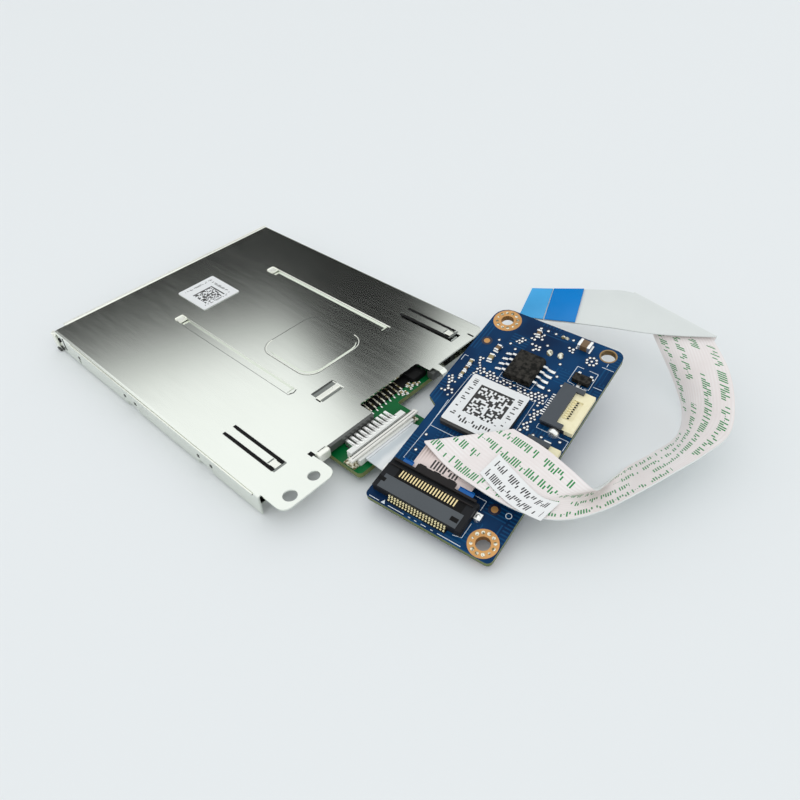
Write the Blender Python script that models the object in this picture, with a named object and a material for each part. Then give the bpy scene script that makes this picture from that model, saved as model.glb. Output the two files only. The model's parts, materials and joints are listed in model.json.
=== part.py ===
"""Smart card reader with its control board and flat cables, as it lies on a table.

The origin is the centre of the reader's underside, on the table. X runs along the way a card
goes in, Y across the card, and Z up. All sizes below are in millimetres, and angles in degrees.
"""
import math

import bmesh
import bpy
from mathutils import Euler, Matrix, Vector

MM = 0.001

# Sheet metal reader
COVER_LENGTH = 68.0
COVER_WIDTH = 56.0
COVER_HEIGHT = 4.5
CAGE_CORNER = (-COVER_LENGTH / 2, -COVER_WIDTH / 2, 0.0)
SHEET = 0.3
FOLD_RADIUS = 0.6
WALL_FOOT = 0.4
NEST_GAP = 0.15
SEAT_GAP = 0.1
ARC_STEPS = 4
FLANGE_REACH = 5.5
FLANGE_WIDTH = 11.5
FLANGE_CORNER = 1.6
FLANGE_HOLE_RADIUS = 1.2
FLANGE_SLIM_HOLE_RADIUS = 1.05
NOSE_RADIUS = 0.5
LEAF_LENGTH = 13.4
LEAF_SLOT_WIDTH = 2.7
LEAF_WIDTH = 1.7
LEAF_INSET = 6.2
LEAF_FRONT = 2.4
GROOVE_START = 16.2
GROOVE_END = COVER_LENGTH - 15.0
GROOVE_WIDTH = 2.2
GROOVE_DEPTH = 0.35
GROOVE_LEFT_Y = COVER_WIDTH / 2 - 8.5
GROOVE_RIGHT_Y = COVER_WIDTH / 2 + 15.5
PRESSED_SQUARE = 13.5
PRESSED_SQUARE_X = COVER_LENGTH - 22.4
PRESSED_SQUARE_Y = COVER_WIDTH / 2 + 3.0
PRESSED_SQUARE_CORNER = 3.0
PRESSED_RISE = 0.2
STRAP_WINDOW = (COVER_LENGTH - 11.7, COVER_LENGTH - 8.6, COVER_WIDTH / 2 - 6.9, COVER_WIDTH / 2 - 1.7)
STRAP_WIDTH = 2.0
STRAP_DROP = 0.45
FRONT_WINDOW_DEPTH = 3.2
FRONT_WINDOW_LOW_Y = COVER_WIDTH / 2 - 3.2
FRONT_WINDOW_HIGH_Y = COVER_WIDTH / 2 + 11.5
FRONT_LIP_LOW_Y = 11.9
FRONT_LIP_DROP = 1.3
BASE_WALL_TOP = 2.9
RAIL_TOP = 2.5
RAIL_WIDTH = 2.3
RAIL_START = 3.0
RAIL_END = COVER_LENGTH - 10.0
BASE_REACH = 0.6
BASE_FRONT_SETBACK = 2.0
LABEL_LENGTH = 10.0
LABEL_WIDTH = 9.1
LABEL_X = 13.6
LABEL_Y = COVER_WIDTH / 2 + 1.0
LABEL_THICK = 0.08

# Card contacts
CONTACT_COLUMNS = (COVER_LENGTH - 13.25, COVER_LENGTH - 20.87)
CONTACT_PITCH = 2.54
CONTACT_ROWS = 4
CONTACT_CENTRE_Y = COVER_WIDTH / 2 + 3.1
CONTACT_WIDTH = 0.9
CONTACT_THICK = 0.15
CONTACT_ARM = 3.3
CONTACT_TIP = 1.2
CONTACT_RISE = 0.95
CONTACT_ROOT_Z = 2.0
POCKET_SIDE_GAP = 0.3
POCKET_FLOOR = 0.9
BLOCK_START = COVER_LENGTH - 24.5
BLOCK_END = COVER_LENGTH - 8.3
BLOCK_LOW_Y = COVER_WIDTH / 2 - 6.0
BLOCK_HIGH_Y = COVER_WIDTH / 2 + 12.2
BLOCK_TOP = 2.3
BLOCK_LEDGE_END = COVER_LENGTH - 1.5

# Card switch
SWITCH_X = COVER_LENGTH - 6.1
SWITCH_ROOT_Y = COVER_WIDTH - 6.0
SWITCH_BLADE_THICK = 0.2
SWITCH_BLADE_LOW = 0.8
SWITCH_TOP = 3.2

# Reader board and its socket
READER_BOARD_TOP = 2.4
READER_BOARD_THICK = 1.0
READER_BOARD_FRONT = COVER_LENGTH - 0.2
READER_BOARD_HIGH_Y = COVER_WIDTH / 2 + 13.4
SWITCH_BLADE_CLEARANCE = 3.2
TONGUE_LOW_Y = COVER_WIDTH / 2 - 13.4
TONGUE_HIGH_Y = COVER_WIDTH / 2 + 3.0
TONGUE_END = COVER_LENGTH + 7.2
SOLDER_GAP = 0.05
TAIL_COUNT = 8
TAIL_PITCH = 1.0
TAIL_FIRST_Y = COVER_WIDTH / 2 - 0.9
TAIL_WIDTH = 0.5
READER_WAYS = 10
READER_PITCH = 1.0
READER_CABLE_WIDTH = 11.0
READER_CABLE_LOW_Y = COVER_WIDTH / 2 - 10.8
READER_SOCKET_BACK = COVER_LENGTH + 2.9
READER_SOCKET_FRONT = COVER_LENGTH + 6.0
READER_LATCH_DEPTH = 1.0
READER_SOCKET_HEIGHT = 1.6
READER_CABLE_Z = 3.2

# Control board, in its own frame: U across, V along, N up from its top face
BOARD_ORIGIN = (COVER_LENGTH / 2 + 11.25, -16.26, 3.34)
BOARD_TURN = (10.1, 3.5, 7.85)
BOARD_WIDTH = 22.2
BOARD_LENGTH = 45.3
BOARD_THICK = 1.0
BOARD_JOG = 2.05
BOARD_JOG_V = 20.0
RING_HOLE_RADIUS = 1.22
PLAIN_HOLE_RADIUS = 1.35
RING_HOLES = ((0.78, BOARD_LENGTH - 2.72), (19.69, 2.43))
PLAIN_HOLE = (19.8, BOARD_LENGTH - 1.9)
CHIP_SIZE = 10.6
CHIP_CENTRE = (7.9, BOARD_LENGTH / 2 - 0.15)
CHIP_TOP = 0.95
MEMORY_LOW = (6.5, CHIP_CENTRE[1] + CHIP_SIZE / 2 + 2.9)
MEMORY_WIDTH = 5.1
MEMORY_LENGTH = 6.1
MEMORY_TOP = 1.4
MEMORY_LEAD_PITCH = 1.27
MEMORY_LEAD_WIDTH = 0.42
MEMORY_LEAD_REACH = 1.6

HOST_SOCKET_LOW = (0.7, 1.5)
HOST_SOCKET_WIDTH = 15.7
HOST_SOCKET_DEPTH = 5.5
HOST_SOCKET_TOP = 1.6
HOST_WAYS = 20
HOST_PITCH = 0.52
HOST_CONTACT_WIDTH = 0.22
HOST_LATCH_DEPTH = 1.5
HOST_LATCH_THICK = 0.55
HOST_CABLE_N = 0.95
SMALL_SOCKET_U = 16.6
SMALL_SOCKET_DEPTH = 5.5
SMALL_SOCKET_LENGTH = 8.4
SMALL_SOCKET_TOP = 1.0
SMALL_SOCKET_V = (BOARD_LENGTH / 2 + 2.55, BOARD_LENGTH / 2 - 9.45)
TRANSISTOR_V = SMALL_SOCKET_V[0] + SMALL_SOCKET_LENGTH + 1.8
SMALL_LATCH_DEPTH = 2.4
SMALL_LATCH_THICK = 0.4
SMALL_WAYS = 8
UNDER_SOCKET_U = 3.2
UNDER_SOCKET_V = 4.4
UNDER_SOCKET_DEPTH = 4.8
UNDER_SOCKET_LENGTH = 12.6
UNDER_SOCKET_HEIGHT = 1.25

# Flat cables
CABLE_WIDTH = 10.5
CABLE_THICK = 0.2
FILM_THICK = 0.12
FILM_GAP = 0.06
FOLD_STEPS = 6
CABLE_STEPS = 3
FILM_OVERHANG = 0.05
CABLE_LABEL_SPAN = (6.6, 13.2)
CABLE_LABEL_SIDES = (0.02, 0.55)
CABLE_LABEL_SKEW = 3.1
HOST_CABLE_LOW_U = 3.65
HOST_CABLE_START_V = 4.2
CREASE_LOW = (3.67, 11.8, 1.1)
CREASE_HIGH = (14.48, 20.5, 1.5)

# The long cable's two edges, chosen by hand from the photograph, with X from the reader's front end
NEAR_EDGE = (
    (13.5, -4.5, 7.4), (19.0, -5.0, 6.9), (24.0, -5.5, 6.6), (28.7, -5.7, 6.0), (33.1, -5.1, 5.3),
    (37.4, -2.6, 5.2), (40.8, 2.1, 5.7), (43.3, 8.1, 6.3), (45.4, 14.5, 6.7), (47.2, 20.9, 6.9),
    (48.1, 26.8, 7.3), (46.1, 32.1, 8.7), (42.6, 36.8, 10.5), (37.8, 40.9, 11.8),
)
FAR_EDGE = (
    (23.2, 5.4, 8.5), (29.0, 4.9, 8.7), (34.4, 4.2, 8.0), (38.3, 4.4, 6.5), (38.4, 7.6, 4.8),
    (37.9, 11.6, 2.9), (37.7, 16.6, 1.0), (39.0, 22.3, 0.5), (40.1, 28.2, 0.6), (38.2, 33.3, 1.7),
    (34.5, 36.3, 4.4), (30.1, 38.7, 7.5), (25.4, 41.7, 9.9), (20.3, 45.5, 11.0),
)
NEAR_EDGE_BACK = (
    (37.8, 40.9, 12.6), (32.6, 39.7, 11.1), (27.0, 38.4, 9.9), (21.2, 36.8, 9.3), (15.5, 34.8, 8.8),
    (10.2, 32.9, 8.2), (5.4, 31.1, 7.9),
)
FAR_EDGE_BACK = (
    (20.3, 45.5, 11.8), (17.9, 45.6, 11.3), (15.3, 45.3, 10.5), (12.5, 44.7, 9.8), (9.4, 43.7, 9.1),
    (5.7, 42.4, 8.3), (1.5, 40.9, 7.5),
)

FINISHES = {
    "cage_steel": ((0.52, 0.53, 0.50), 0.32, 1.0),
    "label_paper": ((0.86, 0.86, 0.84), 0.6, 0.0),
    "black_plastic": ((0.03, 0.03, 0.033), 0.5, 0.0),
    "contact_gold": ((0.83, 0.68, 0.38), 0.3, 1.0),
    "switch_spring": ((0.70, 0.66, 0.55), 0.3, 1.0),
    "reader_board_green": ((0.02, 0.22, 0.10), 0.35, 0.0),
    "tin": ((0.75, 0.75, 0.73), 0.35, 1.0),
    "white_plastic": ((0.82, 0.83, 0.80), 0.45, 0.0),
    "pearl_plastic": ((0.78, 0.76, 0.70), 0.35, 0.0),
    "cream_plastic": ((0.78, 0.70, 0.52), 0.45, 0.0),
    "grey_plastic": ((0.10, 0.105, 0.11), 0.45, 0.0),
    "cable_film": ((0.80, 0.77, 0.75), 0.35, 0.0),
    "blue_film": ((0.02, 0.36, 0.80), 0.3, 0.0),
    "blue_board": ((0.01, 0.06, 0.28), 0.35, 0.0),
    "chip_plastic": ((0.04, 0.038, 0.036), 0.55, 0.0),
    "capacitor_ceramic": ((0.42, 0.27, 0.16), 0.45, 0.0),
}


def clear_scene():
    for thing in list(bpy.data.objects):
        bpy.data.objects.remove(thing, do_unlink=True)


def finish(slot):
    """The material of a slot, made once."""
    material = bpy.data.materials.get(slot)
    if material:
        return material
    colour, roughness, metallic = FINISHES[slot]
    material = bpy.data.materials.new(slot)
    material.use_nodes = True
    shader = material.node_tree.nodes["Principled BSDF"]
    shader.inputs["Base Color"].default_value = (*colour, 1.0)
    shader.inputs["Roughness"].default_value = roughness
    shader.inputs["Metallic"].default_value = metallic
    material.diffuse_color = (*colour, 1.0)
    return material


def corner_arc(corner, before, after, radius, steps=ARC_STEPS):
    """Points of a round corner between the edges to the points before and after it."""
    corner = Vector(corner)
    to_before = (Vector(before) - corner).normalized()
    to_after = (Vector(after) - corner).normalized()
    half = to_before.angle(to_after) / 2
    inward = (to_before + to_after).normalized()
    centre = corner + inward * (radius / math.sin(half))
    reach = radius / math.tan(half)
    first = corner + to_before * reach - centre
    last = corner + to_after * reach - centre
    points = []
    for step in range(steps + 1):
        blend = first.slerp(last, step / steps) if step not in (0, steps) else (first, last)[step // steps]
        points.append(tuple(centre + blend.normalized() * radius))
    return points


def outline(corners):
    """A closed outline from corners of (x, y, radius)."""
    points = []
    count = len(corners)
    for index, (x, y, radius) in enumerate(corners):
        if radius <= 0:
            points.append((x, y))
            continue
        before = corners[index - 1][:2]
        after = corners[(index + 1) % count][:2]
        points.extend(corner_arc((x, y), before, after, radius))
    return points


def circle(x, y, radius, steps=20):
    turn = math.tau / steps
    return [(x + radius * math.cos(turn * i), y + radius * math.sin(turn * i)) for i in range(steps)]


def prism(points, low, high, axis="z"):
    """A closed solid: an outline pushed from low to high along an axis."""
    place = {
        "x": lambda a, b, level: (level, a, b),
        "y": lambda a, b, level: (a, level, b),
        "z": lambda a, b, level: (a, b, level),
    }[axis]
    count = len(points)
    verts = [place(a, b, low) for a, b in points] + [place(a, b, high) for a, b in points]
    faces = [tuple(range(count)), tuple(range(count, 2 * count))]
    faces += [(i, (i + 1) % count, count + (i + 1) % count, count + i) for i in range(count)]
    return verts, faces


def block(x_low, x_high, y_low, y_high, z_low, z_high):
    return prism([(x_low, y_low), (x_high, y_low), (x_high, y_high), (x_low, y_high)], z_low, z_high)


def bent_strip(points, thick, low, high, axis):
    """A strip of even thickness below a bent line, pushed along an axis."""
    lower = []
    for index, point in enumerate(points):
        before = Vector(points[max(index - 1, 0)])
        after = Vector(points[min(index + 1, len(points) - 1)])
        along = (after - before).normalized()
        lower.append((point[0] + along.y * thick, point[1] - along.x * thick))
    return prism(list(points) + lower[::-1], low, high, axis)


def mesh_from(solid):
    """A mesh in metres with its faces turned outward."""
    verts, faces = solid
    mesh = bpy.data.meshes.new("solid")
    mesh.from_pydata([Vector(point) * MM for point in verts], [], faces)
    work = bmesh.new()
    work.from_mesh(mesh)
    bmesh.ops.recalc_face_normals(work, faces=work.faces)
    work.to_mesh(mesh)
    work.free()
    return mesh


def combine(subject, solid, operation):
    """Unite a solid with an object, or cut it away."""
    helper = bpy.data.objects.new("helper", mesh_from(solid))
    bpy.context.scene.collection.objects.link(helper)
    modifier = subject.modifiers.new(operation, "BOOLEAN")
    modifier.operation = operation
    modifier.solver = "EXACT"
    modifier.object = helper
    bpy.context.view_layer.update()
    evaluated = subject.evaluated_get(bpy.context.evaluated_depsgraph_get())
    result = bpy.data.meshes.new_from_object(evaluated)
    subject.modifiers.remove(modifier)
    subject.data = result
    bpy.data.objects.remove(helper, do_unlink=True)


def piece(name, slot, parent, solids, cuts=(), pivot=(0.0, 0.0, 0.0), added=()):
    """One named closed body: solids united, then cut, then added to, with its origin at a pivot."""
    thing = bpy.data.objects.new(name, mesh_from(solids[0]))
    bpy.context.scene.collection.objects.link(thing)
    for solid in solids[1:]:
        combine(thing, solid, "UNION")
    for solid in cuts:
        combine(thing, solid, "DIFFERENCE")
    for solid in added:
        combine(thing, solid, "UNION")
    thing.data.name = name
    thing.data.transform(Matrix.Translation(-Vector(pivot) * MM))
    thing.data.materials.clear()
    thing.data.materials.append(finish(slot))
    thing.parent = parent
    thing.location = Vector(pivot) * MM
    return thing


def frame_empty(name, origin, turn=(0.0, 0.0, 0.0)):
    empty = bpy.data.objects.new(name, None)
    bpy.context.scene.collection.objects.link(empty)
    empty.location = Vector(origin) * MM
    empty.rotation_euler = [math.radians(angle) for angle in turn]
    empty.empty_display_size = 5 * MM
    return empty


def mirrored_y(solid):
    """The same solid on the other side of the reader."""
    verts, faces = solid
    return [(x, COVER_WIDTH - y, z) for x, y, z in verts], faces


def cover_channel():
    """The cover's folded section, open below."""
    width, top = COVER_WIDTH, COVER_HEIGHT
    outer = [(0, WALL_FOOT, 0), (0, top, FOLD_RADIUS), (width, top, FOLD_RADIUS), (width, WALL_FOOT, 0)]
    inner_radius = FOLD_RADIUS - SHEET
    inner = [
        (width - SHEET, WALL_FOOT, 0), (width - SHEET, top - SHEET, inner_radius),
        (SHEET, top - SHEET, inner_radius), (SHEET, WALL_FOOT, 0),
    ]
    return prism(outline(outer + inner), 0.0, COVER_LENGTH, "x")


def leaf_spring():
    """One leaf that dips into the card's space and rises at its tip."""
    top = COVER_HEIGHT
    start = COVER_LENGTH - LEAF_FRONT - LEAF_LENGTH
    end = COVER_LENGTH - LEAF_FRONT - 0.5
    line = [
        (start - 0.6, top), (start + 0.8, top), (start + 5.0, top - 0.25), (end - 3.2, top - 0.68),
        (end - 2.2, top - 0.68), (end - 0.6, top - 0.2), (end, top - 0.1),
    ]
    return bent_strip(line, SHEET, LEAF_INSET - LEAF_WIDTH / 2, LEAF_INSET + LEAF_WIDTH / 2, "y")


def leaf_window():
    start = COVER_LENGTH - LEAF_FRONT - LEAF_LENGTH
    half = LEAF_SLOT_WIDTH / 2
    return block(start, COVER_LENGTH - LEAF_FRONT, LEAF_INSET - half, LEAF_INSET + half,
                 COVER_HEIGHT - 1.5, COVER_HEIGHT + 1)


def groove_tray(centre_y):
    """The metal that a pressed groove pushes below the cover."""
    half = GROOVE_WIDTH / 2
    top = COVER_HEIGHT
    return block(GROOVE_START, GROOVE_END, centre_y - half, centre_y + half,
                 top - GROOVE_DEPTH - SHEET, top - SHEET / 2)


def groove_hollow(centre_y):
    half = GROOVE_WIDTH / 2 - SHEET
    top = COVER_HEIGHT
    line = [
        (GROOVE_START + 0.1, top + 0.1), (GROOVE_START + 0.9, top - GROOVE_DEPTH),
        (GROOVE_END - 0.9, top - GROOVE_DEPTH), (GROOVE_END - 0.1, top + 0.1),
    ]
    return prism(line, centre_y - half, centre_y + half, "y")


def pressed_square(inset, low, high):
    half = PRESSED_SQUARE / 2 - inset
    x, y, corner = PRESSED_SQUARE_X, PRESSED_SQUARE_Y, PRESSED_SQUARE_CORNER - inset
    corners = [(x - half, y - half, corner), (x + half, y - half, corner),
               (x + half, y + half, corner), (x - half, y + half, corner)]
    return prism(outline(corners), low, high)


def strap():
    """The narrow bridge that is pushed down across its window."""
    x_low, x_high, y_low, y_high = STRAP_WINDOW
    top = COVER_HEIGHT
    line = [
        (y_low - 0.4, top), (y_low, top), (y_low + 0.9, top - STRAP_DROP),
        (y_high - 0.9, top - STRAP_DROP), (y_high, top), (y_high + 0.4, top),
    ]
    return bent_strip(line, SHEET, x_high - STRAP_WIDTH, x_high + 0.2, "x")


def flange():
    top = COVER_HEIGHT
    end = COVER_LENGTH + FLANGE_REACH
    corners = [(COVER_LENGTH - 0.5, 0.6, 0), (end, 0.6, FLANGE_CORNER),
               (end, FLANGE_WIDTH, FLANGE_CORNER), (COVER_LENGTH - 0.5, FLANGE_WIDTH, 0)]
    return prism(outline(corners), top - SHEET, top)


def entry_nose():
    """The rounded edge that leads a card in."""
    top = COVER_HEIGHT
    line = [(0.3, top), (0.0, top)]
    for step in range(1, ARC_STEPS + 1):
        angle = math.radians(80 * step / ARC_STEPS)
        line.append((-NOSE_RADIUS * math.sin(angle), top - NOSE_RADIUS + NOSE_RADIUS * math.cos(angle)))
    verts, faces = bent_strip(line[::-1], SHEET, 0.9, COVER_WIDTH - 0.9, "y")
    return verts, faces


def wall_notches():
    """Cuts in the foot of both side walls."""
    cuts = []
    spans = ((9.0, 9.5, 2.2), (27.7, 31.4, 1.3), (COVER_LENGTH - 17.1, COVER_LENGTH - 13.2, 1.3))
    for start, end, height in spans:
        notch = block(start, end, -1.0, 1.0, -1.0, height)
        cuts += [notch, mirrored_y(notch)]
    return cuts


def make_cover(parent):
    top = COVER_HEIGHT
    front = COVER_LENGTH
    solids = [cover_channel(), flange(), entry_nose()]
    solids += [groove_tray(GROOVE_LEFT_Y), groove_tray(GROOVE_RIGHT_Y)]
    solids.append(pressed_square(0.0, top - SHEET / 2, top + PRESSED_RISE))
    solids.append(block(front - SHEET, front, FRONT_LIP_LOW_Y, FRONT_WINDOW_LOW_Y,
                        top - FRONT_LIP_DROP, top - SHEET / 2))
    x_low, x_high, y_low, y_high = STRAP_WINDOW
    side = COVER_WIDTH
    corner = prism([(front - 1.6, side + 1), (front - 1.6, side), (front - 0.4, side - 1.2),
                    (front, side - 3.8), (front + 1, side - 3.8), (front + 1, side + 1)], -1.0, top + 1)
    back = front - FRONT_WINDOW_DEPTH
    window = outline([(back, FRONT_WINDOW_LOW_Y, 0.5), (front + 1, FRONT_WINDOW_LOW_Y, 0),
                      (front + 1, FRONT_WINDOW_HIGH_Y, 0), (back, FRONT_WINDOW_HIGH_Y, 0.5)])
    cuts = [
        groove_hollow(GROOVE_LEFT_Y), groove_hollow(GROOVE_RIGHT_Y),
        pressed_square(SHEET, top - SHEET - 1.0, top - SHEET + PRESSED_RISE),
        block(x_low, x_high, y_low, y_high, top - 1.5, top + 1),
        leaf_window(), mirrored_y(leaf_window()), corner,
        prism(window, top - 1.0, top + 1),
        block(front - 1.8, front - 0.2, side - 3.8, side - 3.4, top - 1, top + 1),
        block(front - 1.0, front + 1.4, FLANGE_WIDTH - 0.05, FLANGE_WIDTH + 0.3, top - 1, top + 1),
        prism(circle(front + 3.6, 3.5, FLANGE_HOLE_RADIUS), top - 1, top + 1),
        prism(circle(front + 3.3, 8.6, FLANGE_SLIM_HOLE_RADIUS), top - 1, top + 1),
    ]
    bracket = [(back - 0.5, top), (front + 1.6, top), (front + 2.3, top - 0.4),
               (front + 2.6, top - 1.2)]
    added = [strap(), leaf_spring(), mirrored_y(leaf_spring()),
             bent_strip(bracket, SHEET, FRONT_WINDOW_HIGH_Y + 0.9, FRONT_WINDOW_HIGH_Y + 2.3, "y")]
    piece("cage_cover", "cage_steel", parent, solids, cuts + wall_notches(), added=added)


def make_base(parent):
    """The folded bottom sheet, with a rail for the card along each side."""
    low = SHEET + NEST_GAP
    high = COVER_WIDTH - low
    start, end = -BASE_REACH, COVER_LENGTH - BASE_FRONT_SETBACK
    section = outline([
        (low, 0, 0.4), (high, 0, 0.4), (high, BASE_WALL_TOP, 0), (high - SHEET, BASE_WALL_TOP, 0),
        (high - SHEET, SHEET, 0.1), (low + SHEET, SHEET, 0.1), (low + SHEET, BASE_WALL_TOP, 0),
        (low, BASE_WALL_TOP, 0)])
    rail = block(RAIL_START, RAIL_END, low + SHEET / 2, low + SHEET + RAIL_WIDTH, RAIL_TOP - SHEET, RAIL_TOP)
    middle = COVER_WIDTH / 2
    cuts = [prism(circle(24.0, middle - 16.0, 1.5), -1, 1), prism(circle(24.0, middle + 16.0, 1.5), -1, 1),
            prism(outline([(10, middle - 4, 1), (18, middle - 4, 1), (18, middle + 4, 1), (10, middle + 4, 1)]),
                  -1, 1)]
    sheet = prism(section, start, end, "x")
    piece("cage_base", "cage_steel", parent, [sheet, rail, mirrored_y(rail)], cuts)


def make_cage_label(parent):
    level = COVER_HEIGHT + SOLDER_GAP
    half_x, half_y = LABEL_LENGTH / 2, LABEL_WIDTH / 2
    corners = [(LABEL_X - half_x, LABEL_Y - half_y, 0.4), (LABEL_X + half_x, LABEL_Y - half_y, 0.4),
               (LABEL_X + half_x, LABEL_Y + half_y, 0.4), (LABEL_X - half_x, LABEL_Y + half_y, 0.4)]
    piece("cage_label", "label_paper", parent, [prism(outline(corners), level, level + LABEL_THICK)])


def contact_places():
    """Card contacts as (x, y) of their touching points, first column first."""
    first = CONTACT_CENTRE_Y - CONTACT_PITCH * (CONTACT_ROWS - 1) / 2
    return [(x, first + CONTACT_PITCH * row) for x in CONTACT_COLUMNS for row in range(CONTACT_ROWS)]


def make_contact_block(parent):
    floor = SHEET + SEAT_GAP
    ledge_top = READER_BOARD_TOP - READER_BOARD_THICK - SEAT_GAP
    solids = [
        block(BLOCK_START, BLOCK_END, BLOCK_LOW_Y, BLOCK_HIGH_Y, floor, BLOCK_TOP),
        block(BLOCK_END - 1, BLOCK_LEDGE_END, BLOCK_LOW_Y, BLOCK_HIGH_Y, floor, ledge_top),
    ]
    half = CONTACT_WIDTH / 2 + POCKET_SIDE_GAP
    cuts = []
    for x, y in contact_places():
        cuts.append(block(x - CONTACT_TIP - 0.4, x + CONTACT_ARM + SEAT_GAP, y - half, y + half,
                          POCKET_FLOOR, BLOCK_TOP + 1))
    piece("contact_block", "black_plastic", parent, solids, cuts)


def make_card_contacts(parent):
    """Eight spring arms, each on a pivot line at its root."""
    for number, (x, y) in enumerate(contact_places(), 1):
        root = CONTACT_ROOT_Z
        line = [
            (x + CONTACT_ARM, root), (x + 0.5, root + CONTACT_RISE), (x - 0.1, root + CONTACT_RISE + 0.03),
            (x - CONTACT_TIP, root + 0.4),
        ]
        half = CONTACT_WIDTH / 2
        piece(f"card_contact_{number}", "contact_gold", parent,
              [bent_strip(line[::-1], CONTACT_THICK, y - half, y + half, "y")],
              pivot=(x + CONTACT_ARM, y, root))


def make_contact_tails(parent):
    """The soldered ends of the card contacts, on one web."""
    low = READER_BOARD_TOP + SOLDER_GAP
    high = low + 0.12
    last = TAIL_FIRST_Y + TAIL_PITCH * (TAIL_COUNT - 1)
    solids = [block(BLOCK_END + 0.3, BLOCK_END + 1.0, TAIL_FIRST_Y - 0.4, last + 0.4, low, high)]
    for index in range(TAIL_COUNT):
        y = TAIL_FIRST_Y + TAIL_PITCH * index
        solids.append(block(BLOCK_END + 0.8, COVER_LENGTH - 2.0, y - TAIL_WIDTH / 2, y + TAIL_WIDTH / 2,
                            low, high))
    piece("card_contact_tails", "tin", parent, solids)


def make_card_switch(parent):
    """A blade that the card's front edge pushes against a stud when the card is home."""
    floor = SHEET + SEAT_GAP
    x, root_y = SWITCH_X, SWITCH_ROOT_Y
    tip_y = READER_BOARD_HIGH_Y + SWITCH_BLADE_CLEARANCE
    middle = (SWITCH_BLADE_LOW + SWITCH_TOP) / 2
    foot = block(x - 0.3, x + 2.0, tip_y - 0.2, root_y + 1.6, floor, floor + 0.2)
    post = block(x - 0.3, x + 1.8, root_y + SEAT_GAP, root_y + 1.6, floor, SWITCH_TOP)
    stud = block(x + 0.85, x + 1.5, tip_y + 0.2, tip_y + 1.4, floor, middle + 0.4)
    piece("card_switch_post", "black_plastic", parent, [foot, post, stud])
    piece("card_switch_blade", "switch_spring", parent,
          [block(x, x + SWITCH_BLADE_THICK, tip_y, root_y, SWITCH_BLADE_LOW, SWITCH_TOP)],
          pivot=(x + SWITCH_BLADE_THICK / 2, root_y, middle))


def make_reader_board(parent):
    top = READER_BOARD_TOP
    corners = [
        (BLOCK_END + 0.3, TONGUE_LOW_Y, 0), (TONGUE_END, TONGUE_LOW_Y, 0.8),
        (TONGUE_END, TONGUE_HIGH_Y, 0.8), (READER_BOARD_FRONT, TONGUE_HIGH_Y, 0.5),
        (READER_BOARD_FRONT, READER_BOARD_HIGH_Y, 0.5),
        (BLOCK_END + 0.3, READER_BOARD_HIGH_Y, 0),
    ]
    board = prism(outline(corners), top - READER_BOARD_THICK, top)
    piece("reader_board", "reader_board_green", parent, [board])
    for number, y in enumerate((READER_BOARD_HIGH_Y - 5.2, READER_BOARD_HIGH_Y - 3.4), 1):
        low = top + SOLDER_GAP
        piece(f"reader_board_part_{number}", "capacitor_ceramic", parent,
              [block(READER_BOARD_FRONT - 1.7, READER_BOARD_FRONT - 0.6, y - 0.35, y + 0.35,
                     low, low + 0.45)])


def make_reader_socket(parent):
    """The ten-way socket on the reader board, with a flip latch over the cable."""
    low = READER_BOARD_TOP + SOLDER_GAP
    top = READER_BOARD_TOP + READER_SOCKET_HEIGHT
    back, front = READER_SOCKET_BACK, READER_SOCKET_FRONT
    cable_low = READER_CABLE_LOW_Y
    cable_high = cable_low + READER_CABLE_WIDTH
    housing_low, housing_high = cable_low - 1.2, cable_high + 0.6
    slot = block(back + 0.7, front + 1, cable_low - 0.15, cable_high + 0.15,
                 READER_CABLE_Z - 0.25, READER_CABLE_Z + 0.35)
    latch_back = back + 1.6
    seat = block(latch_back - 0.5, front + 1, housing_low - 1, housing_high + 1, top - 0.4, top + 1)
    piece("reader_socket_housing", "white_plastic", parent,
          [block(back, front, housing_low, housing_high, low, top)], [slot, seat])
    latch_front = latch_back + READER_LATCH_DEPTH
    latch = outline([(latch_back, top - 0.32, 0.1), (latch_front, top - 0.32, 0.1),
                     (latch_front, top + 0.1, 0.15), (latch_back, top + 0.1, 0.15)])
    piece("reader_socket_latch", "pearl_plastic", parent,
          [prism(latch, housing_low - 1.2, housing_high + 1.6, "y")],
          pivot=(latch_back + 0.1, (housing_low + housing_high) / 2, top - 0.2))
    first = cable_low + (READER_CABLE_WIDTH - READER_PITCH * (READER_WAYS - 1)) / 2
    last = first + READER_PITCH * (READER_WAYS - 1)
    solids = [block(back - 0.55, back - 0.1, first - 0.4, last + 0.4, low, low + 0.15)]
    for index in range(READER_WAYS):
        y = first + READER_PITCH * index
        solids.append(block(back - 2.4, back - 0.1, y - 0.28, y + 0.28, low, low + 0.25))
    piece("reader_socket_contacts", "tin", parent, solids)
    for number, (y_low, y_high) in enumerate(((housing_low - 1.3, housing_low - 0.1),
                                              (housing_high + 0.1, housing_high + 1.3)), 1):
        inner = y_high if number == 1 else y_low
        plate = block(back + 0.4, front - 0.2, y_low, y_high, low, low + 0.25)
        wall = block(back + 0.8, front - 0.6, min(inner, inner + (number - 1.5) * 0.6),
                     max(inner, inner + (number - 1.5) * 0.6), low, low + 0.9)
        piece(f"reader_socket_tab_{number}", "tin", parent, [plate, wall])


def make_control_board(parent):
    jog = BOARD_JOG
    corners = [
        (0, 0, 0.8), (BOARD_WIDTH, 0, 0.9), (BOARD_WIDTH, BOARD_LENGTH, 1.6), (-jog, BOARD_LENGTH, 2.7),
        (-jog, BOARD_JOG_V + 1.2, 0.3), (0, BOARD_JOG_V, 0.3),
    ]
    cuts = [prism(circle(u, v, RING_HOLE_RADIUS), -2, 1) for u, v in RING_HOLES]
    cuts.append(prism(circle(*PLAIN_HOLE, PLAIN_HOLE_RADIUS), -2, 1))
    board = prism(outline(corners), -BOARD_THICK, 0.0)
    piece("control_board", "blue_board", parent, [board], cuts)


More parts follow.
